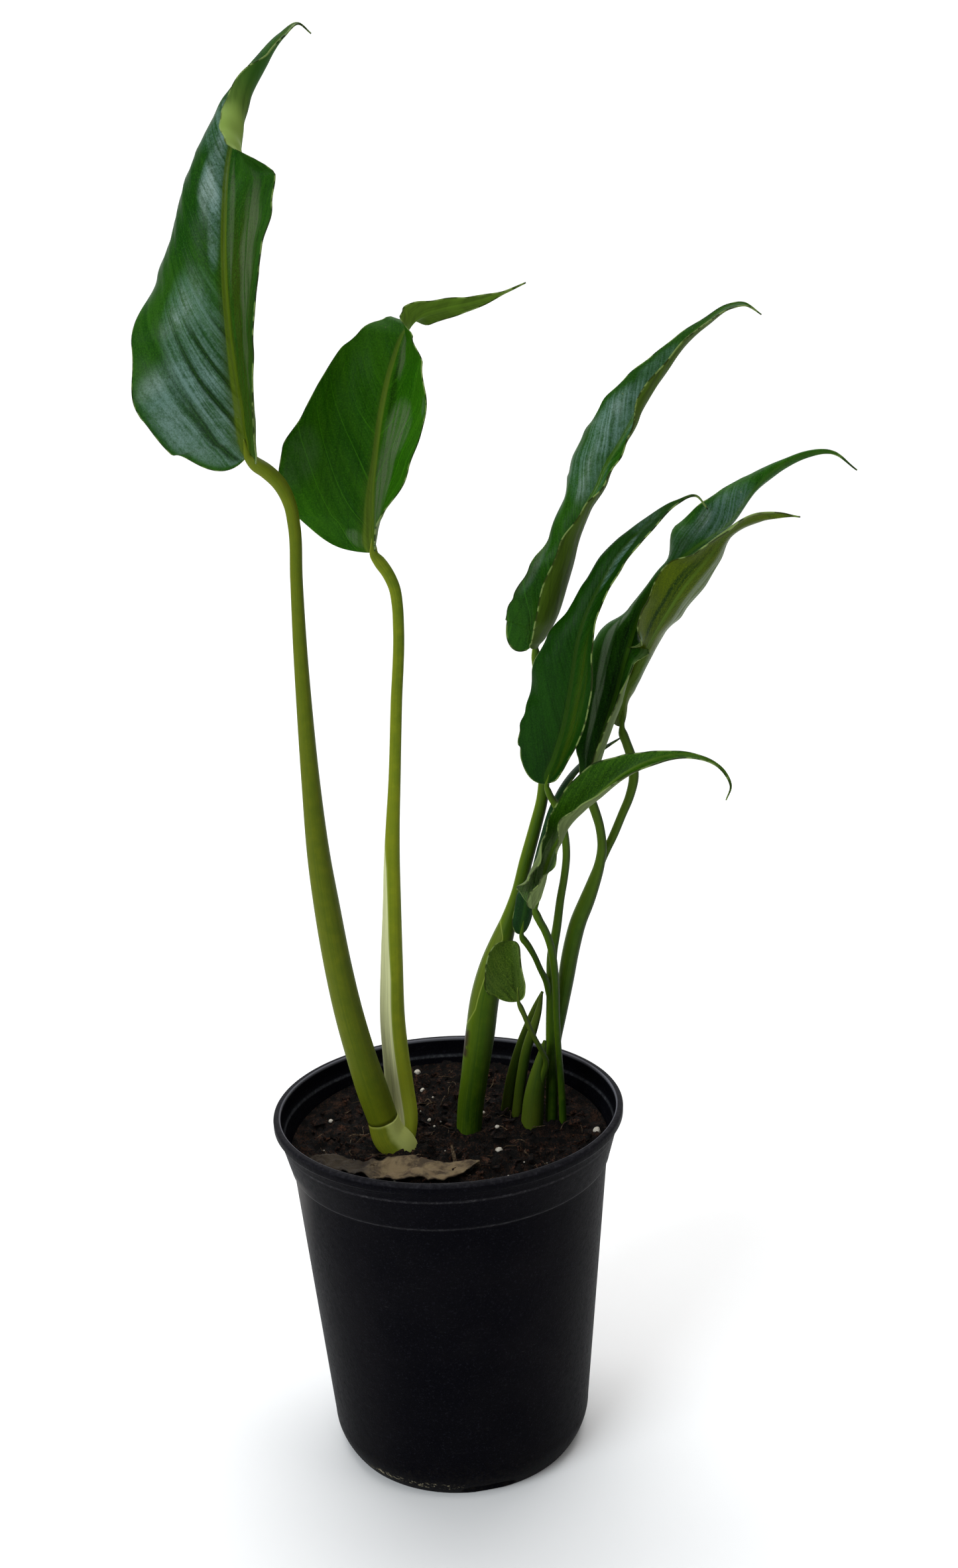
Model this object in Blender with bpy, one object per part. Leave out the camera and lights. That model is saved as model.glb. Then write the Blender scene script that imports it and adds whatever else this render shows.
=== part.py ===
"""A potted flame monstera: a black nursery pot, its soil, and a young plant of nine rolled leaves.

Run with blender --background --python part.py, or from Blender's text editor. Metres, +Z up. The origin is the
middle of the pot's underside, +X is to the right and +Y away from someone who looks at the plant's open side.
"""

import math

import bmesh
import bpy
import numpy as np
from mathutils import Matrix, Vector

MM = 0.001

# Driving dimensions of the pot, in millimetres
POT_HEIGHT = 170.4
RIM_RADIUS = 82.5
RIM_BEAD = 3.3
SHOULDER_RADIUS = 79.4
SHOULDER_HEIGHT = 161.0
STEP_RADIUS = 74.4
STEP_HEIGHT = 145.4
BASE_RADIUS = 62.4
BASE_CORNER = 16.0
FOOT_RADIUS = 56.6
FOOT_HEIGHT = 1.2
FOOT_FLARE = 0.6
FLOOR_RADIUS = 57.6
WALL = 1.6
FLOOR = 1.8
DRAIN_HOLES = 3
DRAIN_WIDTH = 26.0
DRAIN_HEIGHT = 5.5
DRAIN_DEPTH = 6.0
DRAIN_FIRST_ANGLE = -78.0

# Driving dimensions of the soil, in millimetres
SOIL_LEVEL = 153.5
SOIL_MOUND = 2.5
SOIL_RISE = 4.5
CLEARANCE = 0.3
HOLE_CLEARANCE = 0.4
BLADE_CLEARANCE = 1.0
STEM_DEPTH = 15.0

# Driving dimensions of the leaves, in millimetres
BLADE = 0.7
BLADE_ROWS = 18
STEM_ROWS = 16
ROUND_STEPS = 48
HALF_COLUMNS = 3
NARROWEST = 0.9
NECK = 0.75
LOBE_FACTOR = 6.75

PERLITE = [(23, -20, 2.1), (-10, 13, 1.1), (-14, 46, 1.3), (-17, 67, 1.9), (70, -1, 2.2), (16, 17, 1.4),
           (29.5, 7, 1.2), (22.7, 0, 1.0), (-58, 18, 1.2), (14, 60, 1.3), (45, -40, 1.4), (-30, -50, 1.2)]

# Petioles from the soil up to the blade, as (x, y, z, radius) in millimetres
PETIOLES = {
    "petiole_tall_left": [
        (-30.4, -14, 170.3, 7.0), (-34.5, -15, 186, 7.2), (-38.5, -16, 203, 6.8), (-43.1, -17, 226, 6.5),
        (-46.6, -18, 250, 6.2), (-49.5, -19, 277, 5.8), (-51.3, -20, 298, 5.2), (-52.7, -21, 334, 4.1),
        (-53.2, -22, 369, 3.4), (-53.3, -22, 396, 3.0), (-53, -21, 423, 2.7), (-52.5, -21, 446, 2.7),
        (-53.6, -21, 454.5, 2.8), (-57.4, -21, 463.3, 3.1), (-62.8, -21, 469, 3.2), (-67, -20.5, 472, 3.0)],
    "petiole_second_left": [
        (-23, -11, 152, 5.2), (-21.4, -5.5, 164.5, 6.7), (-22.5, -2, 180, 6.7), (-23.4, -2, 196, 6.2),
        (-24, -2, 212, 5.9), (-22.8, -2, 244, 5.1), (-21.3, -2, 271, 4.2), (-20.3, -1.5, 291, 3.7),
        (-19, -1, 308, 3.2), (-17.3, 0, 327, 2.8), (-14.7, 2, 362, 2.6), (-11.9, 3, 397, 2.5),
        (-11.9, 3, 407, 2.5), (-12.8, 4, 414.5, 2.6), (-15.6, 4, 421.5, 2.7), (-19, 5, 426.5, 2.7)],
    "petiole_tall_middle": [
        (8.9, 2, 152, 5.9), (9.9, 3, 163, 6.1), (13.1, 4, 183, 6.4), (16.3, 5, 202, 6.9),
        (19.8, 6, 222, 6.7), (24.6, 6, 238, 6.1), (28.8, 7, 249, 5.0), (32.3, 8, 258, 3.8),
        (36.3, 9, 269, 3.1), (41, 10, 285, 3.1), (46, 12, 301, 2.9), (49.6, 13, 314, 2.7),
        (51.2, 15, 330, 2.5), (51.5, 17, 349, 2.3), (50.3, 19, 367, 2.0), (49, 20, 381, 1.8)],
    "petiole_front": [
        (49, 10.5, 154, 2.9), (50, 11, 181, 2.9), (50.5, 12, 201, 2.8), (51.4, 12, 221, 2.8),
        (51.8, 12, 238, 2.4), (54.2, 11, 251, 2.1), (56.4, 9, 266.5, 1.9), (58.4, 7, 278, 1.8),
        (59.5, 5, 288.5, 1.8), (58.8, 3, 300, 1.8), (57.3, 1, 307, 1.8), (55, -1, 314.5, 1.8),
        (52.6, -3, 319, 1.6), (51.4, -4, 322.5, 1.4)],
    "petiole_long_right": [
        (50.5, 25, 156, 2.2), (51, 23.5, 167, 2.2), (52.4, 22, 188, 2.5), (55.3, 20.5, 205, 3.1),
        (58.2, 20, 221.5, 3.8), (61.4, 19, 238.5, 4.0), (65, 18, 252, 3.9), (69, 17, 262, 3.7),
        (72.7, 16, 272, 3.1), (75.2, 14, 280.5, 2.5), (76.5, 13, 289, 2.2), (75.8, 12, 298.5, 2.1),
        (73.4, 10, 308, 2.2), (71, 8.5, 315, 2.1)],
    "petiole_right_open": [
        (73.5, 17, 269, 1.6), (76.5, 19, 280.5, 1.9), (79, 19, 286, 1.9), (82.4, 19, 293, 2.0),
        (86.5, 18, 303, 2.0), (90.3, 17, 312.5, 2.1), (92.2, 16, 322, 2.3), (91.4, 16, 330, 2.3),
        (89, 15, 338, 2.1), (87.2, 14.2, 343.5, 1.9)],
    "petiole_curled": [
        (54.3, 6.6, 155, 1.8), (54, 6.6, 176, 1.6), (53.2, 6, 193, 1.5), (52.7, 4.4, 211, 1.6),
        (52.6, 1.6, 228.5, 1.7), (51.8, -1, 239.5, 1.8), (50.4, -4, 249, 1.8), (47.8, -7, 257.5, 1.8),
        (45.6, -9, 262.5, 1.8), (44.3, -10, 266, 1.8)],
    "petiole_spoon": [
        (42, 6, 168, 1.8), (45, 3.5, 180, 1.6), (47, 0.5, 189.3, 1.4), (45, -3, 196, 1.2),
        (42.2, -6, 203, 1.2), (39.2, -10, 211.5, 1.2), (37, -13, 218.8, 1.2), (35.3, -14, 223.5, 1.2)],
    "petiole_quill": [
        (50.7, 11.6, 213, 1.5), (49.7, 10.5, 219, 1.5), (48.5, 8, 226.5, 1.6), (45.8, 4, 234, 1.4),
        (42.8, 1, 242.5, 1.4), (39.6, -1, 249, 1.6), (38, -1.8, 251.6, 1.6)],
}

# The petioles with a foot of their own in the soil; the others grow out of a neighbour
FROM_SOIL = ("petiole_tall_middle", "petiole_front", "petiole_long_right", "petiole_curled")

# The stub that both left petioles grow from, and the old sheaths at the foot of the right-hand shoot
CROWN = [(-22, -12, 150, 8.6), (-24.3, -12.5, 156, 8.6), (-28.2, -13.5, 162.2, 8.0), (-30.3, -14, 169.9, 7.2)]
SHEATHS = {
    "sheath_outer": [(27.4, 24, 154, 2.7), (31, 21, 174, 2.5), (35, 19, 189, 2.1), (39.4, 17, 201.5, 1.7),
                     (43.6, 15, 212, 1.3), (46.8, 14, 219, 0.7)],
    "sheath_inner": [(32.6, 15.5, 157, 2.5), (35.6, 14, 177, 2.5), (38.6, 12, 192, 2.4), (42, 10, 203, 2.1),
                     (44.6, 9, 212, 1.5), (46.2, 8.4, 220, 0.7)],
    "sheath_front": [(39.4, 6, 155, 5.3), (40.6, 6, 167, 4.9), (42.4, 5.5, 178, 3.9), (44.6, 5, 188, 2.6),
                     (46.8, 4.5, 198, 0.8)],
}

# Both half blades as wide as the outline says, all along
EVEN_SHARES = ((0, 1, 1), (1, 1, 1))


class Leaf:
    """A blade: the midrib's points, the flat half blade's outline, and how each half is rolled along it.

    width is the half blade's widest reach and widest where it lies along the midrib, from 0 to 1. blunt rounds
    the base and taper draws out the tip. Each roll is (place, left root, left margin, right root, right
    margin): the directions in degrees in which a half blade leaves the midrib and ends at its margin, seen
    along it. 0 is right, 90 away, 180 left and -90 towards the viewer. shares are (place, left, right), the
    parts of the width that each half has there, and lobe is how far the left half reaches back along the
    petiole.
    """

    def __init__(self, petiole, midrib, width, widest, blunt, taper, rolls, lobe=0.0, shares=EVEN_SHARES):
        self.petiole = petiole
        self.midrib = midrib
        self.width = width
        self.widest = widest
        self.blunt = blunt
        self.taper = taper
        self.rolls = rolls
        self.lobe = lobe
        self.shares = shares


LEAVES = {
    "leaf_tall_left": Leaf(
        "petiole_tall_left",
        [(-69.2, -20.4, 474.6), (-70.6, -22.5, 482), (-71.2, -25, 494), (-72.5, -29, 520), (-72.5, -31, 546),
         (-71, -29, 571), (-69, -26, 588), (-64.2, -20, 607), (-54, -10, 628), (-46, -3, 640),
         (-39.5, 2, 645.3), (-35, 6, 642)],
        42, 0.20, 2.4, 1.7,
        [(0.00, 185, 175, -70, -85), (0.11, 185, 175, -58, -92), (0.24, 185, 150, -50, -80),
         (0.38, 185, 105, -42, -68), (0.49, 190, 85, -34, -58), (0.56, 190, 85, -28, -55),
         (0.61, 190, 85, -30, -150), (0.65, 190, 90, -25, -190), (0.70, 190, 100, -25, -215),
         (0.75, 190, 115, -45, -190), (0.84, 190, 135, -60, -120), (1.00, 180, 150, -60, -80)],
        lobe=3.6, shares=[(0, 1.12, 1), (0.12, 1.07, 0.78), (0.20, 1.04, 0.64), (0.33, 1.07, 0.67),
                          (0.42, 1.09, 0.8), (0.50, 1.12, 0.98), (0.57, 1.12, 1.08), (0.63, 1.05, 1),
                          (0.70, 0.88, 1.1), (0.80, 0.8, 1.3), (1, 1, 1.3)]),
    "leaf_second_left": Leaf(
        "petiole_second_left",
        [(-21, 5, 429.6), (-21.5, 3, 446), (-17.5, 0, 474), (-13, 0, 496), (-8, 2, 512), (-3.6, 5, 522),
         (2, 8, 528.5), (12, 11, 531.5), (26, 15, 534), (40, 20, 538), (50, 24, 542)],
        41, 0.25, 2.1, 2.2,
        [(0.00, 180, 180, -60, -100), (0.10, 185, 178, -60, -105), (0.27, 185, 168, -55, -78),
         (0.42, 185, 150, -35, -80), (0.52, 185, 150, -45, -80), (0.58, 183, 158, -60, -95),
         (0.63, 172, 150, -115, -140), (0.66, 120, 100, -150, -170), (0.71, 25, 15, -160, -185),
         (0.83, 20, 10, -170, -185), (1.00, 10, 0, -180, -180)],
        lobe=-3.5, shares=[(0, 0.95, 0.35), (0.07, 1.04, 0.5), (0.14, 1.05, 0.82), (0.25, 0.99, 0.89),
                           (0.35, 0.88, 1), (0.45, 0.88, 1.05), (0.52, 0.89, 0.98), (0.58, 0.79, 0.8),
                           (0.63, 0.62, 0.6), (0.66, 0.5, 0.5), (0.71, 0.42, 0.42), (0.80, 0.6, 0.6),
                           (0.90, 1, 1), (1, 1, 1)]),
    "leaf_tall_middle": Leaf(
        "petiole_tall_middle",
        [(49, 20, 383), (52.2, 18, 388), (56.8, 15, 396), (60.8, 12, 407), (64.8, 10, 421), (68.8, 9, 436),
         (72.8, 9, 446), (77.6, 10, 454), (82.4, 12, 464), (88, 14, 472), (93, 16, 480), (101, 19, 493),
         (110, 23, 504), (119, 27, 515), (128, 30, 522), (139, 34, 529), (147, 37, 530), (155, 40, 525)],
        24, 0.25, 3.5, 1.3,
        [(0.00, 180, 180, -100, -130), (0.08, 182, 178, -90, -150), (0.16, 185, 172, -90, -155),
         (0.26, 190, 110, -85, -145), (0.34, 190, 80, -80, -125), (0.41, 190, 85, -60, -115),
         (0.47, 190, 85, -50, -95), (0.52, 190, 95, -60, -120), (0.60, 185, 130, -70, -155),
         (0.70, 185, 150, -80, -140), (0.80, 185, 140, -80, -120), (1.00, 180, 150, -60, -90)],
        lobe=7.0, shares=[(0, 1.15, 0.75), (0.04, 1.03, 0.78), (0.10, 0.9, 0.95), (0.18, 0.73, 1.02),
                          (0.26, 0.58, 1), (0.34, 0.66, 0.88), (0.40, 0.88, 0.58), (0.45, 1, 0.4),
                          (0.50, 1.08, 0.4), (0.57, 0.98, 0.75), (0.64, 0.8, 0.9), (0.71, 0.66, 0.8),
                          (0.78, 0.48, 1.1), (0.88, 0.35, 1.4), (1, 0.6, 1.4)]),
    "leaf_front": Leaf(
        "petiole_front",
        [(51, -4, 324), (55, -7, 338), (59, -9, 351), (62, -11, 366), (64, -12, 378), (66, -12, 389),
         (70, -11, 401), (77, -8, 414), (86, -5, 427), (98, 0, 438), (112, 5, 447), (121, 8, 449),
         (126, 9, 443)],
        22, 0.30, 1.5, 2.2,
        [(0.00, 180, 180, -50, -80), (0.09, 185, 150, -55, -90), (0.17, 185, 140, -50, -90),
         (0.25, 190, 110, -50, -88), (0.34, 185, 125, -48, -88), (0.41, 190, 105, -50, -90),
         (0.49, 190, 75, -50, -95), (0.58, 190, 50, -50, -90), (0.68, 190, 60, -50, -95),
         (0.80, 190, 60, -50, -80), (1.00, 180, 120, -40, -60)],
        lobe=1.0, shares=[(0, 1.9, 1.1), (0.04, 1.75, 1.1), (0.08, 1.5, 1), (0.13, 1.28, 0.95),
                          (0.19, 1.05, 0.93), (0.30, 0.93, 0.86), (0.41, 0.82, 0.72), (0.50, 0.7, 0.58),
                          (0.57, 0.88, 0.55), (0.65, 1.05, 0.85), (0.73, 1.1, 1.15), (0.82, 1.25, 1.4),
                          (1, 1, 1.4)]),
    "leaf_long_right": Leaf(
        "petiole_long_right",
        [(70, 8, 318), (74, 6, 332), (79, 5, 348), (84, 5, 363), (88, 6, 377), (93, 9, 391), (102, 14, 408.5),
         (119, 18, 423.5), (137, 20, 435.4), (149, 22, 450.2), (160, 25, 458.6), (174, 28, 463.9),
         (185, 31, 464), (197, 33, 455.5)],
        21, 0.45, 3.0, 1.5,
        [(0.00, 170, 150, -80, -120), (0.07, 180, 160, -75, -140), (0.15, 185, 115, -75, -130),
         (0.22, 190, 110, -70, -125), (0.28, 190, 110, -60, -100), (0.35, 175, 90, 60, 80),
         (0.42, 150, 60, 60, 75), (0.50, 145, 55, 50, 70), (0.57, 175, 100, 50, 70),
         (0.65, 185, 150, 60, 100), (0.74, 190, 100, 60, 95), (0.80, 190, 65, 50, 70),
         (0.90, 190, 60, 40, 60), (1.00, 180, 120, 20, 40)],
        shares=[(0, 0.4, 1), (0.10, 0.7, 1), (0.20, 0.8, 1), (0.27, 0.9, 0.5), (0.33, 0.95, 0.3),
                (0.39, 0.5, 0.35), (0.45, 0.25, 0.4), (0.50, 0.35, 0.4), (0.57, 0.88, 0.4),
                (0.70, 0.95, 0.42), (0.77, 0.65, 0.45), (0.84, 0.35, 0.5), (0.92, 0.5, 0.5), (1, 1, 0.5)]),
    "leaf_right_open": Leaf(
        "petiole_right_open",
        [(87, 14, 345), (88, 13, 359), (94, 12, 372), (100, 9, 385), (107, 5, 398), (115, 1, 411),
         (124, -2, 422), (132, -5, 432.5), (139, -7, 437.6), (147, -9, 440.5), (155, -10, 440.8),
         (163, -10, 439.6)],
        15, 0.40, 2.5, 1.4,
        [(0.00, 150, 120, 10, 40), (0.10, 150, 105, 50, 90), (0.21, 150, 75, 60, 90),
         (0.32, 200, 290, 60, 80), (0.44, 190, 240, 40, 65), (0.56, 180, 200, 30, 55),
         (0.66, 190, 260, 30, 70), (0.77, 200, 300, 60, 90), (0.88, 190, 260, 50, 80),
         (1.00, 180, 200, 20, 40)],
        shares=[(0, 1, 0.3), (0.07, 0.95, 0.35), (0.13, 0.95, 0.95), (0.18, 0.9, 1.1), (0.26, 0.25, 1.3),
                (0.31, 0.3, 1.25), (0.38, 1, 1.0), (0.44, 1, 0.85), (0.70, 1, 0.88), (0.80, 1, 1.3),
                (1, 1, 1.3)]),
    "leaf_curled": Leaf(
        "petiole_curled",
        [(43.8, -10, 268), (46, -11, 275), (48, -12, 282), (49.5, -12, 289), (52.4, -12, 296), (56, -12, 302),
         (60, -12, 308), (66.8, -13, 315.5), (73.6, -14, 321.6), (84.4, -16, 330.8), (94.5, -18, 336.4),
         (104.6, -19, 339.2), (113, -20, 339.5), (122.5, -20, 336.3), (128.6, -19, 330.8),
         (131.6, -18, 323.7), (129.6, -17, 317.5)],
        12.5, 0.40, 3.0, 2.5,
        [(0.00, 150, 150, -150, -180), (0.05, 160, 220, -130, -190), (0.11, 170, 290, -90, -150),
         (0.17, 170, 320, -50, -90), (0.24, 180, 270, -80, -130), (0.31, 180, 200, -110, -170),
         (0.38, 180, 180, -100, -150), (0.46, 180, 170, -90, -135), (0.56, 180, 165, -90, -120),
         (0.68, 180, 150, -80, -100), (1.00, 180, 150, -60, -80)],
        shares=[(0, 1.5, 1), (0.08, 1.4, 0.75), (0.18, 1.05, 0.6), (0.30, 0.82, 0.8), (0.41, 1, 0.8),
                (0.49, 1.08, 0.8), (0.57, 0.86, 0.8), (0.64, 0.66, 0.8), (0.72, 0.5, 0.8), (0.80, 0.45, 1),
                (0.92, 1, 1), (1, 1, 1)]),
    "leaf_spoon": Leaf(
        "petiole_spoon",
        [(34.8, -14.4, 225), (34.6, -15, 232), (34.2, -15.5, 239), (33.6, -15, 245.5), (33, -13, 250.5),
         (33, -11, 254)],
        12.5, 0.50, 2.0, 0.5,
        [(0.00, 180, 190, 0, -40), (0.25, 182, 215, -10, -80), (0.60, 185, 235, -20, -110),
         (1.00, 190, 240, -10, -60)],
        shares=[(0, 1.4, 0.45), (0.4, 1.35, 0.45), (1, 1.35, 0.5)]),
    "leaf_quill": Leaf(
        "petiole_quill",
        [(37.5, -2, 253), (39.3, -2.2, 264.5), (43, -0.2, 281), (47.8, 4, 297), (53, 8, 311), (59, 12, 320.5),
         (67, 17, 328), (76, 20, 333.5), (84, 21, 337.7), (88, 21.5, 339.5)],
        7.0, 0.30, 2.8, 0.8,
        [(0.00, 165, 150, 20, 60), (0.14, 150, 110, 20, 90), (0.30, 140, -20, -140, 0),
         (0.50, 140, -60, -140, -10), (1.00, 150, 60, -150, -60)]),
}

# Each surface's colour and roughness
SURFACES = {
    "pot": ((0.012, 0.012, 0.013, 1.0), 0.45),
    "soil": ((0.030, 0.014, 0.008, 1.0), 0.95),
    "leaf": ((0.030, 0.110, 0.010, 1.0), 0.30),
    "petiole": ((0.110, 0.170, 0.015, 1.0), 0.40),
    "sheath": ((0.300, 0.360, 0.080, 1.0), 0.50),
    "dead_leaf": ((0.130, 0.070, 0.035, 1.0), 0.85),
}


def clear_scene():
    for obj in list(bpy.data.objects):
        bpy.data.objects.remove(obj)


def material(name, surface):
    colour, roughness = SURFACES[surface]
    made = bpy.data.materials.new(name)
    made.use_nodes = True
    shader = made.node_tree.nodes["Principled BSDF"]
    shader.inputs["Base Color"].default_value = colour
    shader.inputs["Roughness"].default_value = roughness
    return made


def smooth_shade(mesh):
    mesh.shade_smooth()
    mesh.set_sharp_from_angle(angle=math.radians(40))


def finish(name, bm, surface=None):
    """Turns a bmesh into a named object, with a material of its own if it stays in the model."""
    mesh = bpy.data.meshes.new(name)
    bm.to_mesh(mesh)
    bm.free()
    smooth_shade(mesh)
    obj = bpy.data.objects.new(name, mesh)
    bpy.context.scene.collection.objects.link(obj)
    if surface:
        mesh.materials.append(material(name, surface))
    return obj


def faces_out(bm):
    bmesh.ops.recalc_face_normals(bm, faces=bm.faces)
    if bm.calc_volume(signed=True) < 0:
        bmesh.ops.reverse_faces(bm, faces=bm.faces)
    return bm


def smooth_path(knots, places):
    """Points at the given places, from 0 to 1 of the length, on one smooth curve through the knots."""
    knots = np.array(knots, float)
    steps = np.linalg.norm(np.diff(knots[:, :3], axis=0), axis=1)
    reach = np.concatenate([[0.0], np.cumsum(steps)])
    slopes = np.gradient(knots, reach, axis=0)
    return hermite(reach / reach[-1], knots, slopes * reach[-1], places)


def hermite(places, values, slopes, wanted):
    wanted = np.atleast_1d(np.array(wanted, float))
    left = np.clip(np.searchsorted(places, wanted, side="right") - 1, 0, len(places) - 2)
    span = places[left + 1] - places[left]
    u = ((wanted - places[left]) / span)[:, None]
    span = span[:, None]
    return ((1 + 2 * u) * (1 - u) ** 2 * values[left] + u * (1 - u) ** 2 * span * slopes[left]
            + u * u * (3 - 2 * u) * values[left + 1] + u * u * (u - 1) * span * slopes[left + 1])


def blend_stations(stations, places):
    """The stations' values at any places, without overshoot between two of them."""
    stations = np.array(stations, float)
    flat = np.zeros_like(stations[:, 1:])
    return hermite(stations[:, 0], stations[:, 1:], flat, places)


def wrapped_sheet(columns, rows, place):
    """A tube: a grid whose sides are rolled round to meet, moved to place(u, v) and closed at both ends."""
    bm = bmesh.new()
    bmesh.ops.create_grid(bm, x_segments=columns, y_segments=rows, size=0.5)
    for vert in bm.verts:
        vert.co = place(vert.co.x + 0.5, vert.co.y + 0.5)
    bmesh.ops.remove_doubles(bm, verts=bm.verts, dist=1e-6)
    bmesh.ops.holes_fill(bm, edges=[edge for edge in bm.edges if edge.is_boundary], sides=0)
    return faces_out(bm)


def frame_at(tangent):
    """Two directions across a path: away from the viewer, and to the right of the path."""
    tangent = Vector(tangent).normalized()
    away = (Vector((0, 1, 0)) - tangent * tangent.y).normalized()
    return tangent, away, away.cross(tangent)


def tube(knots, swell=0.0, flatten=1.0, rows=STEM_ROWS):
    """A tapered round stem along the knots; swell widens it all over and flatten thins it from front to back.

    Its rows lie closer together towards the top, where petioles bend.
    """
    places = 1 - (1 - np.linspace(0, 1, rows + 1)) ** 1.5
    points = smooth_path(knots, places)
    frames = [frame_at(tangent) for tangent in np.gradient(points[:, :3], places, axis=0)]

    def place(u, v):
        row = round(v * rows)
        _, away, right = frames[row]
        turn = 2 * math.pi * u
        radius = points[row, 3] + swell
        across = right * math.cos(turn) + away * (math.sin(turn) * flatten)
        return (Vector(points[row, :3]) + across * radius) * MM

    return wrapped_sheet(sides_of(knots), rows, place)


def sides_of(knots):
    """A thick stem has ten sides and a thin one eight."""
    return 10 if max(knot[3] for knot in knots) > 4 else 8


def into_soil(knots, deeper=0.0):
    """The same stem with a straight foot that stands in its hole in the soil."""
    first = np.array(knots[0])
    second = np.array(knots[1])
    foot = first - (second - first) * ((STEM_DEPTH + deeper) / np.linalg.norm((second - first)[:3]))
    foot[3] = first[3]
    return [tuple(foot)] + list(knots)


def stem_and_midrib(leaf):
    """The petiole's points and the midrib's as one curve, and where along it the blade starts."""
    petiole = PETIOLES[leaf.petiole]
    whole = [knot[:3] for knot in petiole] + list(leaf.midrib)
    steps = np.linalg.norm(np.diff(np.array(whole), axis=0), axis=1)
    return whole, (steps[:len(petiole)].sum() + BLADE_CLEARANCE) / steps.sum()


def half_width(leaf, place):
    """The flat half blade's reach at a place along the midrib: blunt at the base, drawn out to the tip."""
    if place < leaf.widest:
        share = (1 - (1 - place / leaf.widest) ** leaf.blunt) ** (1 / leaf.blunt)
    else:
        past = (place - leaf.widest) / (1 - leaf.widest)
        share = (1 - past) ** leaf.taper * (1 + leaf.taper * past)
    return leaf.width * share


def rolled(root, margin, reach):
    """Where a half blade that turns evenly from root to margin gets to, across and away, after the reach."""
    turn = math.radians(margin - root)
    root = math.radians(root)
    if abs(turn) < 0.01:
        return math.cos(root) * reach, math.sin(root) * reach
    return ((math.sin(root + turn * reach) - math.sin(root)) / turn,
            (math.cos(root) - math.cos(root + turn * reach)) / turn)


def thick_sheet(name, columns, rows, place, surface):
    """A flat grid moved to place(u, v) and given the blade's thickness, with both faces triangulated alike."""
    bm = bmesh.new()
    bmesh.ops.create_grid(bm, x_segments=columns, y_segments=rows, size=0.5)
    for vert in bm.verts:
        vert.co = place(vert.co.x + 0.5, vert.co.y + 0.5)
    bmesh.ops.triangulate(bm, faces=bm.faces)
    obj = finish(name, bm, surface)
    thicken = obj.modifiers.new("Blade", "SOLIDIFY")
    thicken.thickness = BLADE * MM
    thicken.offset = 0.0
    return obj


def blade(name, leaf, rows=BLADE_ROWS, half_columns=HALF_COLUMNS):
    """The leaf's blade: a sheet whose middle line is the midrib, with its halves rolled to either side."""
    whole, start = stem_and_midrib(leaf)
    even = np.linspace(0, 1, rows + 1)
    places = 0.6 * (1 - np.cos(np.pi / 2 * even)) + 0.4 * (1 - np.cos(np.pi * even)) / 2
    along = smooth_path([(*knot, 0.0) for knot in whole], start + (1 - start) * places)[:, :3]
    frames = [frame_at(tangent) for tangent in np.gradient(along, places, axis=0)]
    turns = blend_stations(leaf.rolls, places)
    shares = blend_stations(leaf.shares, places)

    def place(u, v):
        row = round(v * rows)
        tangent, away, right = frames[row]
        left_root, left_margin, right_root, right_margin = turns[row]
        reach = abs(2 * u - 1)
        root, margin = (right_root, right_margin) if u > 0.5 else (left_root, left_margin)
        across, back = rolled(root, margin, reach)
        wide = max(NARROWEST, half_width(leaf, places[row]) * shares[row][1 if u > 0.5 else 0])
        # The left half sags most, by the whole lobe, where it has opened to a third of its width
        opened = half_width(leaf, places[row]) / leaf.width if places[row] < leaf.widest and u < 0.5 else 1.0
        droop = leaf.lobe * LOBE_FACTOR * reach ** 2 * opened * (1 - opened) ** 2
        point = Vector(along[row]) + (right * across + away * back) * wide - tangent * droop
        return point * MM

    return thick_sheet(name, 2 * half_columns, rows, place, "leaf")


def boolean(obj, others, operation):
    """Cuts others from obj, or joins them to it, applies that and removes the others."""
    for other in others:
        step = obj.modifiers.new(operation.title(), "BOOLEAN")
        step.operation = operation
        step.solver = "EXACT"
        step.object = other
    bpy.context.view_layer.update()
    graph = bpy.context.evaluated_depsgraph_get()
    mesh = bpy.data.meshes.new_from_object(obj.evaluated_get(graph))
    obj.modifiers.clear()
    obj.data = mesh
    smooth_shade(mesh)
    for other in others:
        bpy.data.objects.remove(other)


def arc(centre, radius, first, last, steps):
    """Points on a quarter or half round of the pot's profile, as (radius, height)."""
    angles = np.radians(np.linspace(first, last, steps + 1))
    return [(centre[0] + radius * math.cos(a), centre[1] + radius * math.sin(a)) for a in angles]


def base_corner(steps):
    """The rounding between the foot and the wall, from the bottom up, as (radius, height)."""
    inset = BASE_RADIUS - FOOT_RADIUS - FOOT_FLARE
    return [(BASE_RADIUS - inset * (1 - t) ** 2, FOOT_HEIGHT + (BASE_CORNER - FOOT_HEIGHT) * t)
            for t in np.linspace(0, 1, steps + 1)]


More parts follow.
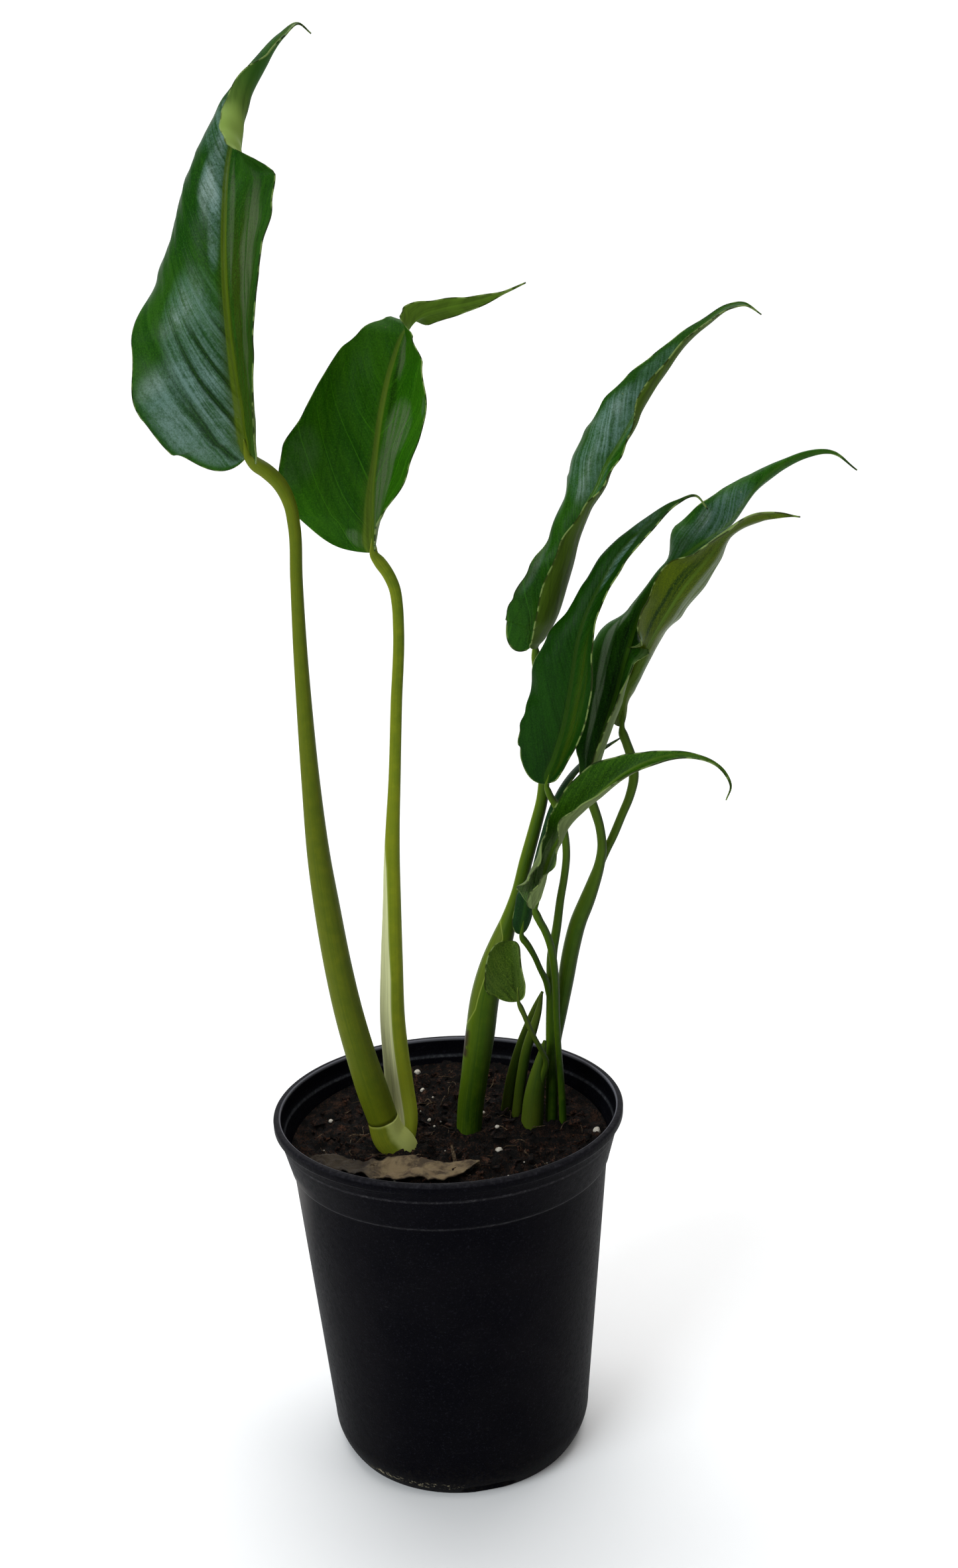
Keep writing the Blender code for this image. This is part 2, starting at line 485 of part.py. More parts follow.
def pot_profile():
    """The pot's section, from the middle of its underside out, up the wall, over the rim and down inside."""
    bead = RIM_BEAD / 2
    inside = RIM_RADIUS - RIM_BEAD
    outside = [(0, 0), (FOOT_RADIUS - 1.4, 0)] + base_corner(3) + [(STEP_RADIUS, STEP_HEIGHT)]
    outside += [(STEP_RADIUS + 1.2, STEP_HEIGHT + 0.8), (SHOULDER_RADIUS, SHOULDER_HEIGHT)]
    outside += [(RIM_RADIUS - 1.8, SHOULDER_HEIGHT + 4.2), (RIM_RADIUS, SHOULDER_HEIGHT + 6)]
    rim = arc((RIM_RADIUS - bead, POT_HEIGHT - bead), bead, 0, 180, 4)
    inner = [(inside - 0.3, SHOULDER_HEIGHT + 3), (SHOULDER_RADIUS - WALL, SHOULDER_HEIGHT)]
    inner += [(STEP_RADIUS + 0.6 - WALL, STEP_HEIGHT + 1.5), (STEP_RADIUS - WALL, STEP_HEIGHT - 1)]
    inner += [(BASE_RADIUS - WALL, BASE_CORNER), (FLOOR_RADIUS - WALL, FLOOR), (0, FLOOR)]
    return outside + rim + inner


def wall_radius(height):
    """The pot's inner radius at a height between its floor and its rim."""
    heights = [FLOOR, BASE_CORNER, STEP_HEIGHT - 1, STEP_HEIGHT + 1.5, SHOULDER_HEIGHT]
    radii = [FLOOR_RADIUS, BASE_RADIUS, STEP_RADIUS, STEP_RADIUS + 0.6, SHOULDER_RADIUS]
    return float(np.interp(height, heights, radii)) - WALL


def turned(profile, steps):
    """A closed profile spun once round the Z axis."""
    bm = bmesh.new()
    verts = [bm.verts.new((radius * MM, 0, height * MM)) for radius, height in profile]
    edges = [bm.edges.new(pair) for pair in zip(verts, verts[1:])]
    bmesh.ops.spin(bm, geom=verts + edges, cent=(0, 0, 0), axis=(0, 0, 1), angle=2 * math.pi, steps=steps,
                   use_merge=True)
    bmesh.ops.remove_doubles(bm, verts=bm.verts, dist=1e-6)
    return faces_out(bm)


def make_pot():
    pot = finish("pot", turned(pot_profile(), ROUND_STEPS), "pot")
    cutters = []
    for number in range(DRAIN_HOLES):
        angle = math.radians(DRAIN_FIRST_ANGLE + number * 360 / DRAIN_HOLES)
        bm = bmesh.new()
        bmesh.ops.create_cube(bm, size=1)
        along_x = [edge for edge in bm.edges if abs(edge.verts[0].co.x - edge.verts[1].co.x) > 0.5]
        bmesh.ops.bevel(bm, geom=along_x, offset=0.18, segments=2, profile=0.5, affect="EDGES", material=-1)
        bmesh.ops.scale(bm, verts=bm.verts, vec=Vector((2 * DRAIN_DEPTH, DRAIN_WIDTH, 2 * DRAIN_HEIGHT)) * MM)
        bmesh.ops.translate(bm, verts=bm.verts, vec=(BASE_RADIUS * MM, 0, 0))
        bmesh.ops.rotate(bm, verts=bm.verts, cent=(0, 0, 0), matrix=Matrix.Rotation(angle, 3, "Z"))
        cutters.append(finish("drain_cutter", bm))
    boolean(pot, cutters, "DIFFERENCE")


def soil_edge(y):
    """The soil's level at the wall, which rises towards the back."""
    return SOIL_LEVEL + SOIL_RISE * (max(0.0, y) / 72) ** 1.5


def soil_height(x, y):
    """The soil's top: a low mound with crumbs, lumps and a few perlite grains that stand out of it."""
    radius = math.hypot(x, y)
    height = soil_edge(y) + SOIL_MOUND * math.cos(min(1.0, radius / 75) * math.pi / 2)
    height += 0.9 * math.sin(x * 0.23 + 1.3) * math.sin(y * 0.19 + 0.4)
    height += 0.6 * math.sin(x * 0.47 - y * 0.31) + 0.5 * math.sin(y * 0.61 + x * 0.29 + 2.0)
    for grain_x, grain_y, size in PERLITE:
        near = math.hypot(x - grain_x, y - grain_y) / (size * 1.6)
        height += size * max(0.0, 1 - near * near)
    return height


def make_soil():
    """A plug that fills the pot, 0.3 mm clear of its wall, with a plain hole for each stem."""
    bottom = FLOOR + CLEARANCE
    levels = (bottom, BASE_CORNER, STEP_HEIGHT - 1, STEP_HEIGHT + 1.5, SOIL_LEVEL)
    side = [(wall_radius(height) - CLEARANCE, height) for height in levels]
    rings = 10
    edge = side[-1][0]
    top = [(edge * ring / rings, SOIL_LEVEL + 0.01) for ring in range(rings - 1, -1, -1)]
    bm = turned([(0, bottom)] + side + top, ROUND_STEPS)
    for vert in bm.verts:
        x, y = vert.co.x / MM, vert.co.y / MM
        if vert.co.z > (SOIL_LEVEL + 0.005) * MM and math.hypot(x, y) < edge - 0.5:
            vert.co.z = soil_height(x, y) * MM
        elif vert.co.z > (SOIL_LEVEL - 0.005) * MM:
            vert.co.z = soil_edge(y) * MM
    bmesh.ops.triangulate(bm, faces=bm.faces)
    soil = finish("soil", faces_out(bm), "soil")
    in_soil = [CROWN, *SHEATHS.values()] + [PETIOLES[name] for name in FROM_SOIL]
    cutters = []
    for knots in in_soil:
        cutters.append(finish("hole_cutter", tube(into_soil(knots, HOLE_CLEARANCE), HOLE_CLEARANCE)))
    boolean(soil, cutters, "DIFFERENCE")


def make_petioles():
    """Every petiole as a tapered stem; those that have grown together are joined into one."""
    stems = {}
    for name, knots in PETIOLES.items():
        flatten = 0.75 if name == "petiole_second_left" else 1.0
        blade_base = next(leaf.midrib[0] for leaf in LEAVES.values() if leaf.petiole == name)
        path = [*knots, (*blade_base, NECK * knots[-1][3])]
        path = into_soil(path) if name in FROM_SOIL else path
        stems[name] = finish(name, tube(path, flatten=flatten), "petiole")
    for name, knots in SHEATHS.items():
        stems[name] = finish(name, tube(into_soil(knots)), "sheath")
    stems["crown"] = finish("crown", tube(into_soil(CROWN)), "petiole")
    boolean(stems["petiole_second_left"], [stems["crown"]], "UNION")
    boolean(stems["petiole_front"], [stems["petiole_quill"]], "UNION")
    boolean(stems["petiole_long_right"], [stems["petiole_right_open"]], "UNION")
    boolean(stems["sheath_front"], [stems["petiole_spoon"]], "UNION")


def make_dead_leaf():
    """A dry brown leaf that lies curled on the soil in front of the left-hand shoot."""
    spine = [(-66, -22), (-50, -33), (-34, -41), (-17, -43), (0, -42), (14, -39)]
    widths = [1.5, 6.0, 8.5, 9.5, 8.0, 1.5]

    def place(u, v):
        x, y = smooth_path([(*point, 0.0) for point in spine], [v])[0][:2]
        wide = float(np.interp(v, np.linspace(0, 1, len(widths)), widths))
        wide *= 1 + 0.18 * math.sin(17 * v + 4 * u)
        across = (u - 0.5) * 2
        y += across * wide
        curl = 2.6 * across * across * (0.6 + 0.4 * math.sin(9 * v + 3 * across))
        lift = 0.8 + curl + 0.5 * math.sin(12 * v) ** 2
        return Vector((x, y, highest_near(x, y) + lift)) * MM

    thick_sheet("dead_leaf", 6, 16, place, "dead_leaf")


def highest_near(x, y, reach=3.0):
    """The soil's highest point within reach, so that what lies on it stays clear of its crumbs."""
    around = [(x, y)] + [(x + reach * math.cos(a), y + reach * math.sin(a)) for a in np.linspace(0, 5.5, 8)]
    return max(soil_height(*point) for point in around)


def main():
    clear_scene()
    make_pot()
    make_soil()
    make_petioles()
    for name, leaf in LEAVES.items():
        blade(name, leaf)
    make_dead_leaf()


main()
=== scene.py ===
# %% [markdown]
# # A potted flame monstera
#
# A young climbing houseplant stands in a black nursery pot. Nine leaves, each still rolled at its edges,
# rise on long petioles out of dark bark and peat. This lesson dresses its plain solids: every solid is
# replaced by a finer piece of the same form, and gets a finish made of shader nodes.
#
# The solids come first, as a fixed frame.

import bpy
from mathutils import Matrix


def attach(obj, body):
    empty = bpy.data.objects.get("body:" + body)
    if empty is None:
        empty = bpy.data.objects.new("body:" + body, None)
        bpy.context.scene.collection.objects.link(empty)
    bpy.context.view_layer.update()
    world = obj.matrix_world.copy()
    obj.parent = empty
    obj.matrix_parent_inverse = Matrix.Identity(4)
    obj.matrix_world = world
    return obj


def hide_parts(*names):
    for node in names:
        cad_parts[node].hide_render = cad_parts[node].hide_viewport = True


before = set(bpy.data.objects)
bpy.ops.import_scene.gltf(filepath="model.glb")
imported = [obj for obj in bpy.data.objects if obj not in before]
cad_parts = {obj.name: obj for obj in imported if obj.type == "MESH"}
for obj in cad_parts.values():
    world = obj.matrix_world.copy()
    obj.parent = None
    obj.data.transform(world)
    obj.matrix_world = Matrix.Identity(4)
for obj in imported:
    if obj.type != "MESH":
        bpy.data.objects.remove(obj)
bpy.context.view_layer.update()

import math

import bmesh
import bpy
import numpy as np
from mathutils import Matrix, Vector, noise

MM = 0.001
SAME_POINT = 1e-6

# %% [markdown]
# ## The camera
#
# The photograph looks down at the pot by 14 degrees and is turned a little, which the pot's rim and foot
# show. A camera needs three directions: right, up and back. They go into its matrix as columns, which is
# plainer than three angles where a view is both tilted and turned.

# %% The camera
PITCH = 0.2445
TURN = 0.0415
FOCAL_PIXELS = 2500
PHOTO_HEIGHT = 2365
SENSOR_WIDTH = 36
CAMERA_PLACE = (0.0208, -0.7249, 0.5061)

level_up = Vector((0, math.sin(PITCH), math.cos(PITCH)))
right = Vector((1, 0, 0)) * math.cos(TURN) - level_up * math.sin(TURN)
up = Vector((1, 0, 0)) * math.sin(TURN) + level_up * math.cos(TURN)
back = Vector((0, -math.cos(PITCH), math.sin(PITCH)))

camera = bpy.data.objects.new("camera", bpy.data.cameras.new("camera"))
bpy.context.scene.collection.objects.link(camera)
camera.matrix_world = Matrix.Translation(CAMERA_PLACE) @ Matrix((right, up, back)).transposed().to_4x4()
camera.data.sensor_width = SENSOR_WIDTH
camera.data.lens = SENSOR_WIDTH * FOCAL_PIXELS / PHOTO_HEIGHT
bpy.context.scene.camera = camera
print("lens", round(camera.data.lens, 2), "mm")

# %% [markdown]
# ## A small language for finishes
#
# A finish is a tree of shader nodes. Joining dozens of nodes by hand hides the idea behind them, so two
# small classes let us write it as sums. `Value` wraps one node's output, and adding or multiplying values
# adds the Math nodes. `Finish` holds the material, and its `node` method makes any other node: the type,
# its settings, then what goes into its sockets. Colours are built up like paint: a base, then one coat
# after another, each with a mask that says where it lies.

# %% Values and finishes
class Value:
    """A node's output. Arithmetic on it adds Math nodes to its finish."""

    def __init__(self, finish, socket):
        self.finish = finish
        self.socket = socket

    def also(self, output):
        """Another output of the same node."""
        return Value(self.finish, self.socket.node.outputs[output])

    def math(self, operation, first, second=0.0):
        return self.finish.node("ShaderNodeMath", {"operation": operation}, {0: first, 1: second})

    def __add__(self, other):
        return self.math("ADD", self, other)

    def __radd__(self, other):
        return self.math("ADD", other, self)

    def __sub__(self, other):
        return self.math("SUBTRACT", self, other)

    def __rsub__(self, other):
        return self.math("SUBTRACT", other, self)

    def __mul__(self, other):
        return self.math("MULTIPLY", self, other)

    def __rmul__(self, other):
        return self.math("MULTIPLY", other, self)

    def __truediv__(self, other):
        return self.math("DIVIDE", self, other)

    def __abs__(self):
        return self.math("ABSOLUTE", self)

    def wave(self):
        """A fold back and forth between 0 and a half: 0 at each whole number."""
        return self.math("PINGPONG", self, 0.5)


class Finish:
    """A material with one glossy shader, built from nodes."""

    def __init__(self, name, **constants):
        self.material = bpy.data.materials.new(name)
        self.material.use_nodes = True
        self.tree = self.material.node_tree
        self.shader = self.tree.nodes["Principled BSDF"]
        for socket, value in constants.items():
            self.shader.inputs[socket.replace("_", " ")].default_value = value

    def node(self, kind, settings=None, sockets=None, output=0):
        made = self.tree.nodes.new(kind)
        for key, value in (settings or {}).items():
            setattr(made, key, value)
        for key, value in (sockets or {}).items():
            if isinstance(value, Value):
                self.tree.links.new(value.socket, made.inputs[key])
            else:
                made.inputs[key].default_value = value
        return Value(self, made.outputs[output])

    def place(self):
        """Where a point lies on the object, in millimetres."""
        here = self.node("ShaderNodeTexCoord", output="Object")
        return self.node("ShaderNodeVectorMath", {"operation": "SCALE"}, {0: here, "Scale": 1 / MM})

    def stored(self, name):
        """A vector that the piece stores at each of its points."""
        return self.node("ShaderNodeAttribute", {"attribute_name": name}, output="Vector")

    def parts(self, vector):
        """The three numbers of a vector."""
        first = self.node("ShaderNodeSeparateXYZ", None, {0: vector})
        return first, first.also(1), first.also(2)

    def vector(self, x, y, z):
        return self.node("ShaderNodeCombineXYZ", None, {0: x, 1: y, 2: z})

    def cloud(self, vector, scale, detail=3.0, rough=0.5):
        """Soft noise from 0 to 1. The scale is in spots per unit."""
        return self.node("ShaderNodeTexNoise", None,
                         {"Vector": vector, "Scale": scale, "Detail": detail, "Roughness": rough})

    def cells(self, vector, scale):
        """The distance to the nearest of many scattered points."""
        return self.node("ShaderNodeTexVoronoi", None, {"Vector": vector, "Scale": scale})

    def ramp(self, value, low, high):
        """0 below low, 1 above high and a smooth rise between them."""
        return self.node("ShaderNodeMapRange", {"interpolation_type": "SMOOTHSTEP"},
                         {0: value, 1: low, 2: high, 3: 0.0, 4: 1.0})

    def fall(self, value, low, high):
        """1 below low, 0 above high and a smooth fall between them."""
        return 1 - self.ramp(value, low, high)

    def band(self, value, start, full, fading, end):
        """0 outside start and end, and 1 from full to fading."""
        return self.ramp(value, start, full) * self.fall(value, fading, end)

    def mix(self, share, first, second):
        """The first colour, or the second where share is 1."""
        colours = {6: first, 7: second}
        for key, value in colours.items():
            if not isinstance(value, Value):
                colours[key] = (*value, 1.0)
        return self.node("ShaderNodeMix", {"data_type": "RGBA"}, {0: share, **colours}, output=2)

    def coats(self, colour, *coats):
        """A base colour and the coats over it. Each coat is a mask, from 0 to 1, and a colour."""
        for mask, coat in coats:
            colour = self.mix(mask, colour, coat)
        return colour

    def bumps(self, height, depth, strength=1.0):
        """A Bump node for a height from 0 to 1 that stands for depth in millimetres."""
        sockets = {"Height": height, "Distance": depth * MM, "Strength": strength}
        return self.node("ShaderNodeBump", None, sockets, output="Normal")

    def wear(self, **values):
        """Joins values to the shader's sockets."""
        for socket, value in values.items():
            self.tree.links.new(value.socket, self.shader.inputs[socket.replace("_", " ")])
        print(self.material.name, "has", len(self.tree.nodes), "nodes")
        return self


def toned(colour, factor):
    """A colour made brighter or darker."""
    return [channel * factor for channel in colour]


# %% [markdown]
# ## Smooth paths and rolled sheets
#
# Stems and blades follow a line of known points. A cubic curve joins them with no corners: at each point
# its slope is the mean of the slopes on both sides. Values such as the roll of a leaf change between
# stations, and there flat slopes keep the curve from overshooting.

# %% Paths through known points
def hermite(places, values, slopes, wanted):
    """The cubic curve through values at places, with the given slopes, at the wanted places."""
    wanted = np.atleast_1d(np.array(wanted, float))
    left = np.clip(np.searchsorted(places, wanted, side="right") - 1, 0, len(places) - 2)
    span = places[left + 1] - places[left]
    u = ((wanted - places[left]) / span)[:, None]
    span = span[:, None]
    return ((1 + 2 * u) * (1 - u) ** 2 * values[left] + u * (1 - u) ** 2 * span * slopes[left]
            + u * u * (3 - 2 * u) * values[left + 1] + u * u * (u - 1) * span * slopes[left + 1])


def smooth_path(knots, places):
    """Points at the given places, from 0 to 1 of the length, on one smooth curve through the knots."""
    knots = np.array(knots, float)
    steps = np.linalg.norm(np.diff(knots[:, :3], axis=0), axis=1)
    reach = np.concatenate([[0.0], np.cumsum(steps)])
    length = reach[-1]
    return hermite(reach / length, knots, np.gradient(knots, reach, axis=0) * length, places)


def blend_stations(stations, places):
    """The stations' values at any places, without overshoot between two of them."""
    stations = np.array(stations, float)
    return hermite(stations[:, 0], stations[:, 1:], np.zeros_like(stations[:, 1:]), places)


def frame_at(tangent):
    """Two directions across a path: away from the viewer, and to the right of the path."""
    tangent = Vector(tangent).normalized()
    away = (Vector((0, 1, 0)) - tangent * tangent.y).normalized()
    return tangent, away, away.cross(tangent)


# %% [markdown]
# A stem and a blade are the same thing to a modeller: a flat grid whose two long sides are rolled round
# until they meet, like a paper tube. The grid operator makes the faces, we only move its points, and
# merging the points that meet closes the seam. Numbers that a finish needs later, such as how far a point
# is from the midrib, are stored at the points before the seam is merged.

# %% A grid rolled into a tube
def faces_out(bm):
    """Turns every face outward."""
    bmesh.ops.recalc_face_normals(bm, faces=bm.faces)
    if bm.calc_volume(signed=True) < 0:
        bmesh.ops.reverse_faces(bm, faces=bm.faces)
    return bm


def rolled_grid(columns, rows, place, stored):
    """place(column, row) gives a point in millimetres and the vectors stored there under these names."""
    bm = bmesh.new()
    layers = [bm.verts.layers.float_vector.new(name) for name in stored]
    bmesh.ops.create_grid(bm, x_segments=columns, y_segments=rows, size=0.5)
    for vert in bm.verts:
        point, *vectors = place(round((vert.co.x + 0.5) * columns), round((vert.co.y + 0.5) * rows))
        vert.co = Vector(point) * MM
        for layer, vector in zip(layers, vectors):
            vert[layer] = vector
    bmesh.ops.remove_doubles(bm, verts=bm.verts, dist=SAME_POINT)
    bmesh.ops.holes_fill(bm, edges=[edge for edge in bm.edges if edge.is_boundary], sides=0)
    return faces_out(bm)


def plain_object(name, bm):
    """A bmesh as an object in the scene."""
    mesh = bpy.data.meshes.new(name)
    bm.to_mesh(mesh)
    bm.free()
    obj = bpy.data.objects.new(name, mesh)
    bpy.context.scene.collection.objects.link(obj)
    return obj


def piece(name, bm, finish, slot, *nodes):
    """A finished piece that rides with the pot and stands for its solids."""
    obj = plain_object(name, bm)
    mesh = obj.data
    mesh.shade_smooth()
    mesh.materials.append(finish.material)
    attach(obj, "root")
    if nodes:
        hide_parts(*nodes)
    mesh.calc_loop_triangles()
    print(name, "has", len(mesh.loop_triangles), "triangles")
    return obj


# %% [markdown]
# ## The nursery pot
#
# A nursery pot is blown or moulded from thin recycled plastic: a rolled rim that stiffens it, a stepped
# shoulder so that pots stack without jamming, and holes round its bottom corner. It is round, so one
# profile spun about the axis gives the whole wall. The same profile serves the solid, with more steps and
# rounder corners here.

# %% The pot's profile
POT_HEIGHT = 170.4
RIM_RADIUS = 82.5
RIM_BEAD = 3.3
SHOULDER_RADIUS = 79.4
SHOULDER_HEIGHT = 161.0
STEP_RADIUS = 74.4
STEP_HEIGHT = 145.4
BASE_RADIUS = 62.4
BASE_CORNER = 16.0
FOOT_RADIUS = 56.6
FLOOR_RADIUS = 57.6
WALL = 1.6
FLOOR = 1.8
RIM_ROUND = 1.2
RIM_ROUND_INSIDE = 0.8


def arc(centre, radius, first, last, steps):
    """Points on an arc between two angles in degrees."""
    angles = np.radians(np.linspace(first, last, steps + 1))
    return [(centre[0] + radius * math.cos(a), centre[1] + radius * math.sin(a)) for a in angles]


def line(first, last, steps):
    """Points from first up to, but not including, last."""
    return [tuple(point) for point in np.linspace(first, last, steps + 1)[:-1]]


inside = RIM_RADIUS - RIM_BEAD
profile = [(0, 0.6), (FOOT_RADIUS - 8, 0.6), (FOOT_RADIUS - 5, 0), (FOOT_RADIUS - 1.4, 0)]
profile += [(BASE_RADIUS - (BASE_RADIUS - FOOT_RADIUS - 0.2) * (1 - t) ** 2, 0.4 + (BASE_CORNER - 0.4) * t)
            for t in np.linspace(0, 1, 9)]
profile += line((BASE_RADIUS + 0.1, BASE_CORNER + 1), (STEP_RADIUS, STEP_HEIGHT - 0.8), 24)
profile += [(STEP_RADIUS + 0.1, STEP_HEIGHT - 0.3), (STEP_RADIUS + 0.9, STEP_HEIGHT + 0.4)]
profile += [(STEP_RADIUS + 1.3, STEP_HEIGHT + 1.3)]
profile += line((STEP_RADIUS + 1.5, STEP_HEIGHT + 2.2), (SHOULDER_RADIUS - 0.1, SHOULDER_HEIGHT - 0.6), 5)
profile += [(SHOULDER_RADIUS + 0.3, SHOULDER_HEIGHT + 0.5), (SHOULDER_RADIUS + 0.8, SHOULDER_HEIGHT + 3.6)]
profile += [(RIM_RADIUS - 1.7, SHOULDER_HEIGHT + 4.3), (RIM_RADIUS - 0.6, SHOULDER_HEIGHT + 4.8)]
profile += [(RIM_RADIUS - 0.1, SHOULDER_HEIGHT + 5.6)]
profile += arc((RIM_RADIUS - RIM_ROUND, POT_HEIGHT - RIM_ROUND), RIM_ROUND, 0, 84, 6)
profile += arc((inside + RIM_ROUND_INSIDE, POT_HEIGHT - RIM_ROUND_INSIDE), RIM_ROUND_INSIDE, 96, 180, 5)
profile += [(inside - 0.1, SHOULDER_HEIGHT + 4), (inside - 0.4, SHOULDER_HEIGHT + 2)]
profile += [(SHOULDER_RADIUS - WALL, SHOULDER_HEIGHT + 0.3)]
profile += [(SHOULDER_RADIUS - WALL - 0.3, SHOULDER_HEIGHT - 0.8)]
profile += line((STEP_RADIUS + 1.2 - WALL, STEP_HEIGHT + 2.4), (STEP_RADIUS + 0.2 - WALL, STEP_HEIGHT), 1)
profile += line((STEP_RADIUS - WALL, STEP_HEIGHT - 1), (BASE_RADIUS - WALL, BASE_CORNER), 6)
profile += [(FLOOR_RADIUS - WALL, FLOOR), (0, FLOOR)]
print("the profile has", len(profile), "points")

# %% [markdown]
# The drainage holes are punched through the bottom corner, so that water runs out even on a flat saucer. A
# Boolean with a rounded block makes each notch. One notch faces the viewer, a little to the right.

# %% The pot
DRAIN_HOLES = 3
DRAIN_WIDTH = 26.0
DRAIN_HEIGHT = 5.5
DRAIN_DEPTH = 6.0
DRAIN_FIRST_ANGLE = -78.0
ROUND_STEPS = 192
SHARP_POT_EDGE = math.radians(38)


def turned(points, steps):
    """A closed profile spun once round the upright axis."""
    bm = bmesh.new()
    verts = [bm.verts.new((radius * MM, 0, height * MM)) for radius, height in points]
    edges = [bm.edges.new(pair) for pair in zip(verts, verts[1:])]
    bmesh.ops.spin(bm, geom=verts + edges, cent=(0, 0, 0), axis=(0, 0, 1), angle=2 * math.pi,
                   steps=steps, use_merge=True)
    bmesh.ops.remove_doubles(bm, verts=bm.verts, dist=SAME_POINT)
    return faces_out(bm)


def notched(bm):
    """The pot's mesh with its drainage notches cut."""
    pot = plain_object("pot_blank", bm)
    cutters = []
    for number in range(DRAIN_HOLES):
        block = bmesh.new()
        bmesh.ops.create_cube(block, size=1)
        lengthwise = [edge for edge in block.edges if abs(edge.verts[0].co.x - edge.verts[1].co.x) > 0.5]
        bmesh.ops.bevel(block, geom=lengthwise, offset=0.3, segments=6, profile=0.5, affect="EDGES",
                        material=-1)
        size = Vector((2 * DRAIN_DEPTH, DRAIN_WIDTH, 2 * DRAIN_HEIGHT)) * MM
        bmesh.ops.scale(block, verts=block.verts, vec=size)
        bmesh.ops.translate(block, verts=block.verts, vec=(BASE_RADIUS * MM, 0, 0))
        angle = math.radians(DRAIN_FIRST_ANGLE + number * 360 / DRAIN_HOLES)
        bmesh.ops.rotate(block, verts=block.verts, cent=(0, 0, 0), matrix=Matrix.Rotation(angle, 3, "Z"))
        cutters.append(plain_object("notch_cutter", block))
    for cutter in cutters:
        cut = pot.modifiers.new("Notch", "BOOLEAN")
        cut.operation = "DIFFERENCE"
        cut.solver = "EXACT"
        cut.object = cutter
    bpy.context.view_layer.update()
    done = bmesh.new()
    done.from_object(pot, bpy.context.evaluated_depsgraph_get())
    for obj in cutters + [pot]:
        bpy.data.objects.remove(obj)
    return done


# %% [markdown]
# Recycled black plastic is nearly black all through, with a fine orange-peel skin. Handling leaves faint
# scuffs, the left side of the wall has a painted sheen broken by dust, the rim's top and the two grooves are
# paler, most where dust lies, the rim's inner edge has a painted highlight, the ridge inside it dust and a
# painted highlight, and hard water dries to a broken pale line round the foot. Each of these is a mask: noise
# on the object's own coordinates, kept to a band of heights.

# %% Black plastic
SHOULDER_GROOVE = (160.0, 160.7, 161.2, 161.9)
STEP_GROOVE = (144.4, 145.2, 145.8, 146.6)
INNER_RIDGE = (160.2, 160.9, 161.5, 162.3)
LIME_HEIGHTS = (3.2, 4.6, 6.2, 8.2)
LIME_RUN = (-46.0, -38.0, -4.0, 2.0)

plastic = Finish("recycled_black_plastic", Specular_IOR_Level=0.02)
spot = plastic.place()
x, y, z = plastic.parts(spot)
flat = plastic.vector(x, y, 0.0)
radius = plastic.node("ShaderNodeVectorMath", {"operation": "LENGTH"}, {0: flat}, output="Value")
stretched = plastic.node("ShaderNodeVectorMath", {"operation": "MULTIPLY"}, {0: spot, 1: (0.35, 0.35, 2.2)})
skin = plastic.cloud(spot, 1.6, 2.0)
patches = plastic.cloud(spot, 0.035, 4.0, 0.6)
specks = plastic.ramp(plastic.cloud(spot, 1.1, 4.0, 0.7), 0.56, 0.66)
dust = plastic.ramp(plastic.cloud(spot, 0.5, 5.0, 0.7), 0.42, 0.75)
scuffs = plastic.ramp(plastic.cloud(stretched, 0.6, 6.0, 0.7), 0.60, 0.72) * plastic.ramp(patches, 0.5, 0.62)
foot = plastic.fall(z, 1.0, 26.0)
lime = plastic.band(z, *LIME_HEIGHTS) * plastic.band(x, *LIME_RUN)
lime = lime * plastic.ramp(plastic.cloud(spot, 0.42, 6.0, 0.75), 0.52, 0.60)
rim_top = plastic.ramp(z, 168.6, 169.8)
# A painted highlight along the inner edge of the rim's top.
rim_edge_highlight = rim_top * plastic.fall(radius, 79.5, 80.1)
# Dust and a painted highlight on the ridge inside the rim.
ridge_dust_and_highlight = plastic.band(z, *INNER_RIDGE) * plastic.fall(radius, 78.6, 79.0)
grooves = plastic.band(z, *SHOULDER_GROOVE) + plastic.band(z, *STEP_GROOVE)
grooves = grooves * plastic.ramp(radius, 74.2, 74.6)
# A painted sheen on the left side of the wall.
painted_left_sheen = plastic.fall(x + (160.0 - z) * 0.10, -77.0, -58.0) * plastic.fall(z, 148.0, 152.0)
black = plastic.coats(
    (0.0010, 0.0010, 0.0022),
    (plastic.ramp(patches, 0.3, 0.7), (0.0022, 0.0021, 0.0032)),
    (scuffs * 0.35, (0.035, 0.034, 0.034)),
    (foot * dust * 0.5, (0.022, 0.018, 0.013)),
    (specks * 0.7, (0.0095, 0.0095, 0.0135)),
    # painted sheen on the left side, broken by dust
    (painted_left_sheen * (0.55 + dust * 0.45), (0.17, 0.155, 0.145)),
    (grooves * (0.12 + dust * 0.5), (0.060, 0.058, 0.062)),
    (rim_top * (0.15 + dust * 0.45), (0.034, 0.033, 0.038)),
    # painted highlight on the rim's inner edge
    (rim_edge_highlight * 0.8, (0.14, 0.14, 0.16)),
    # dust and a painted highlight on the inner ridge
    (ridge_dust_and_highlight * (0.2 + dust * 0.4), (0.055, 0.060, 0.068)),
    (lime * 0.85, (0.34, 0.30, 0.20)),
)
plastic.wear(
    Base_Color=black,
    Roughness=0.40 + skin * 0.12 + dust * 0.12 + lime * 0.3,
    Normal=plastic.bumps(skin * 0.5 + plastic.cloud(spot, 0.25, 3.0) * 0.6 + lime * 0.8, 0.22),
)
pot = piece("nursery_pot", notched(turned(profile, ROUND_STEPS)), plastic, "pot", "pot")
pot.data.set_sharp_from_angle(angle=SHARP_POT_EDGE)

# %% [markdown]
# ## The potting mix
#
# The mix is bark fines and peat with a little perlite. From a step away it reads as dark crumbs, so the bed
# itself is a finely divided disc whose points are lifted by several sizes of noise, and loose crumbs, chips
# and rootlets lie on it. The bed keeps the solid's low mound and its sides.

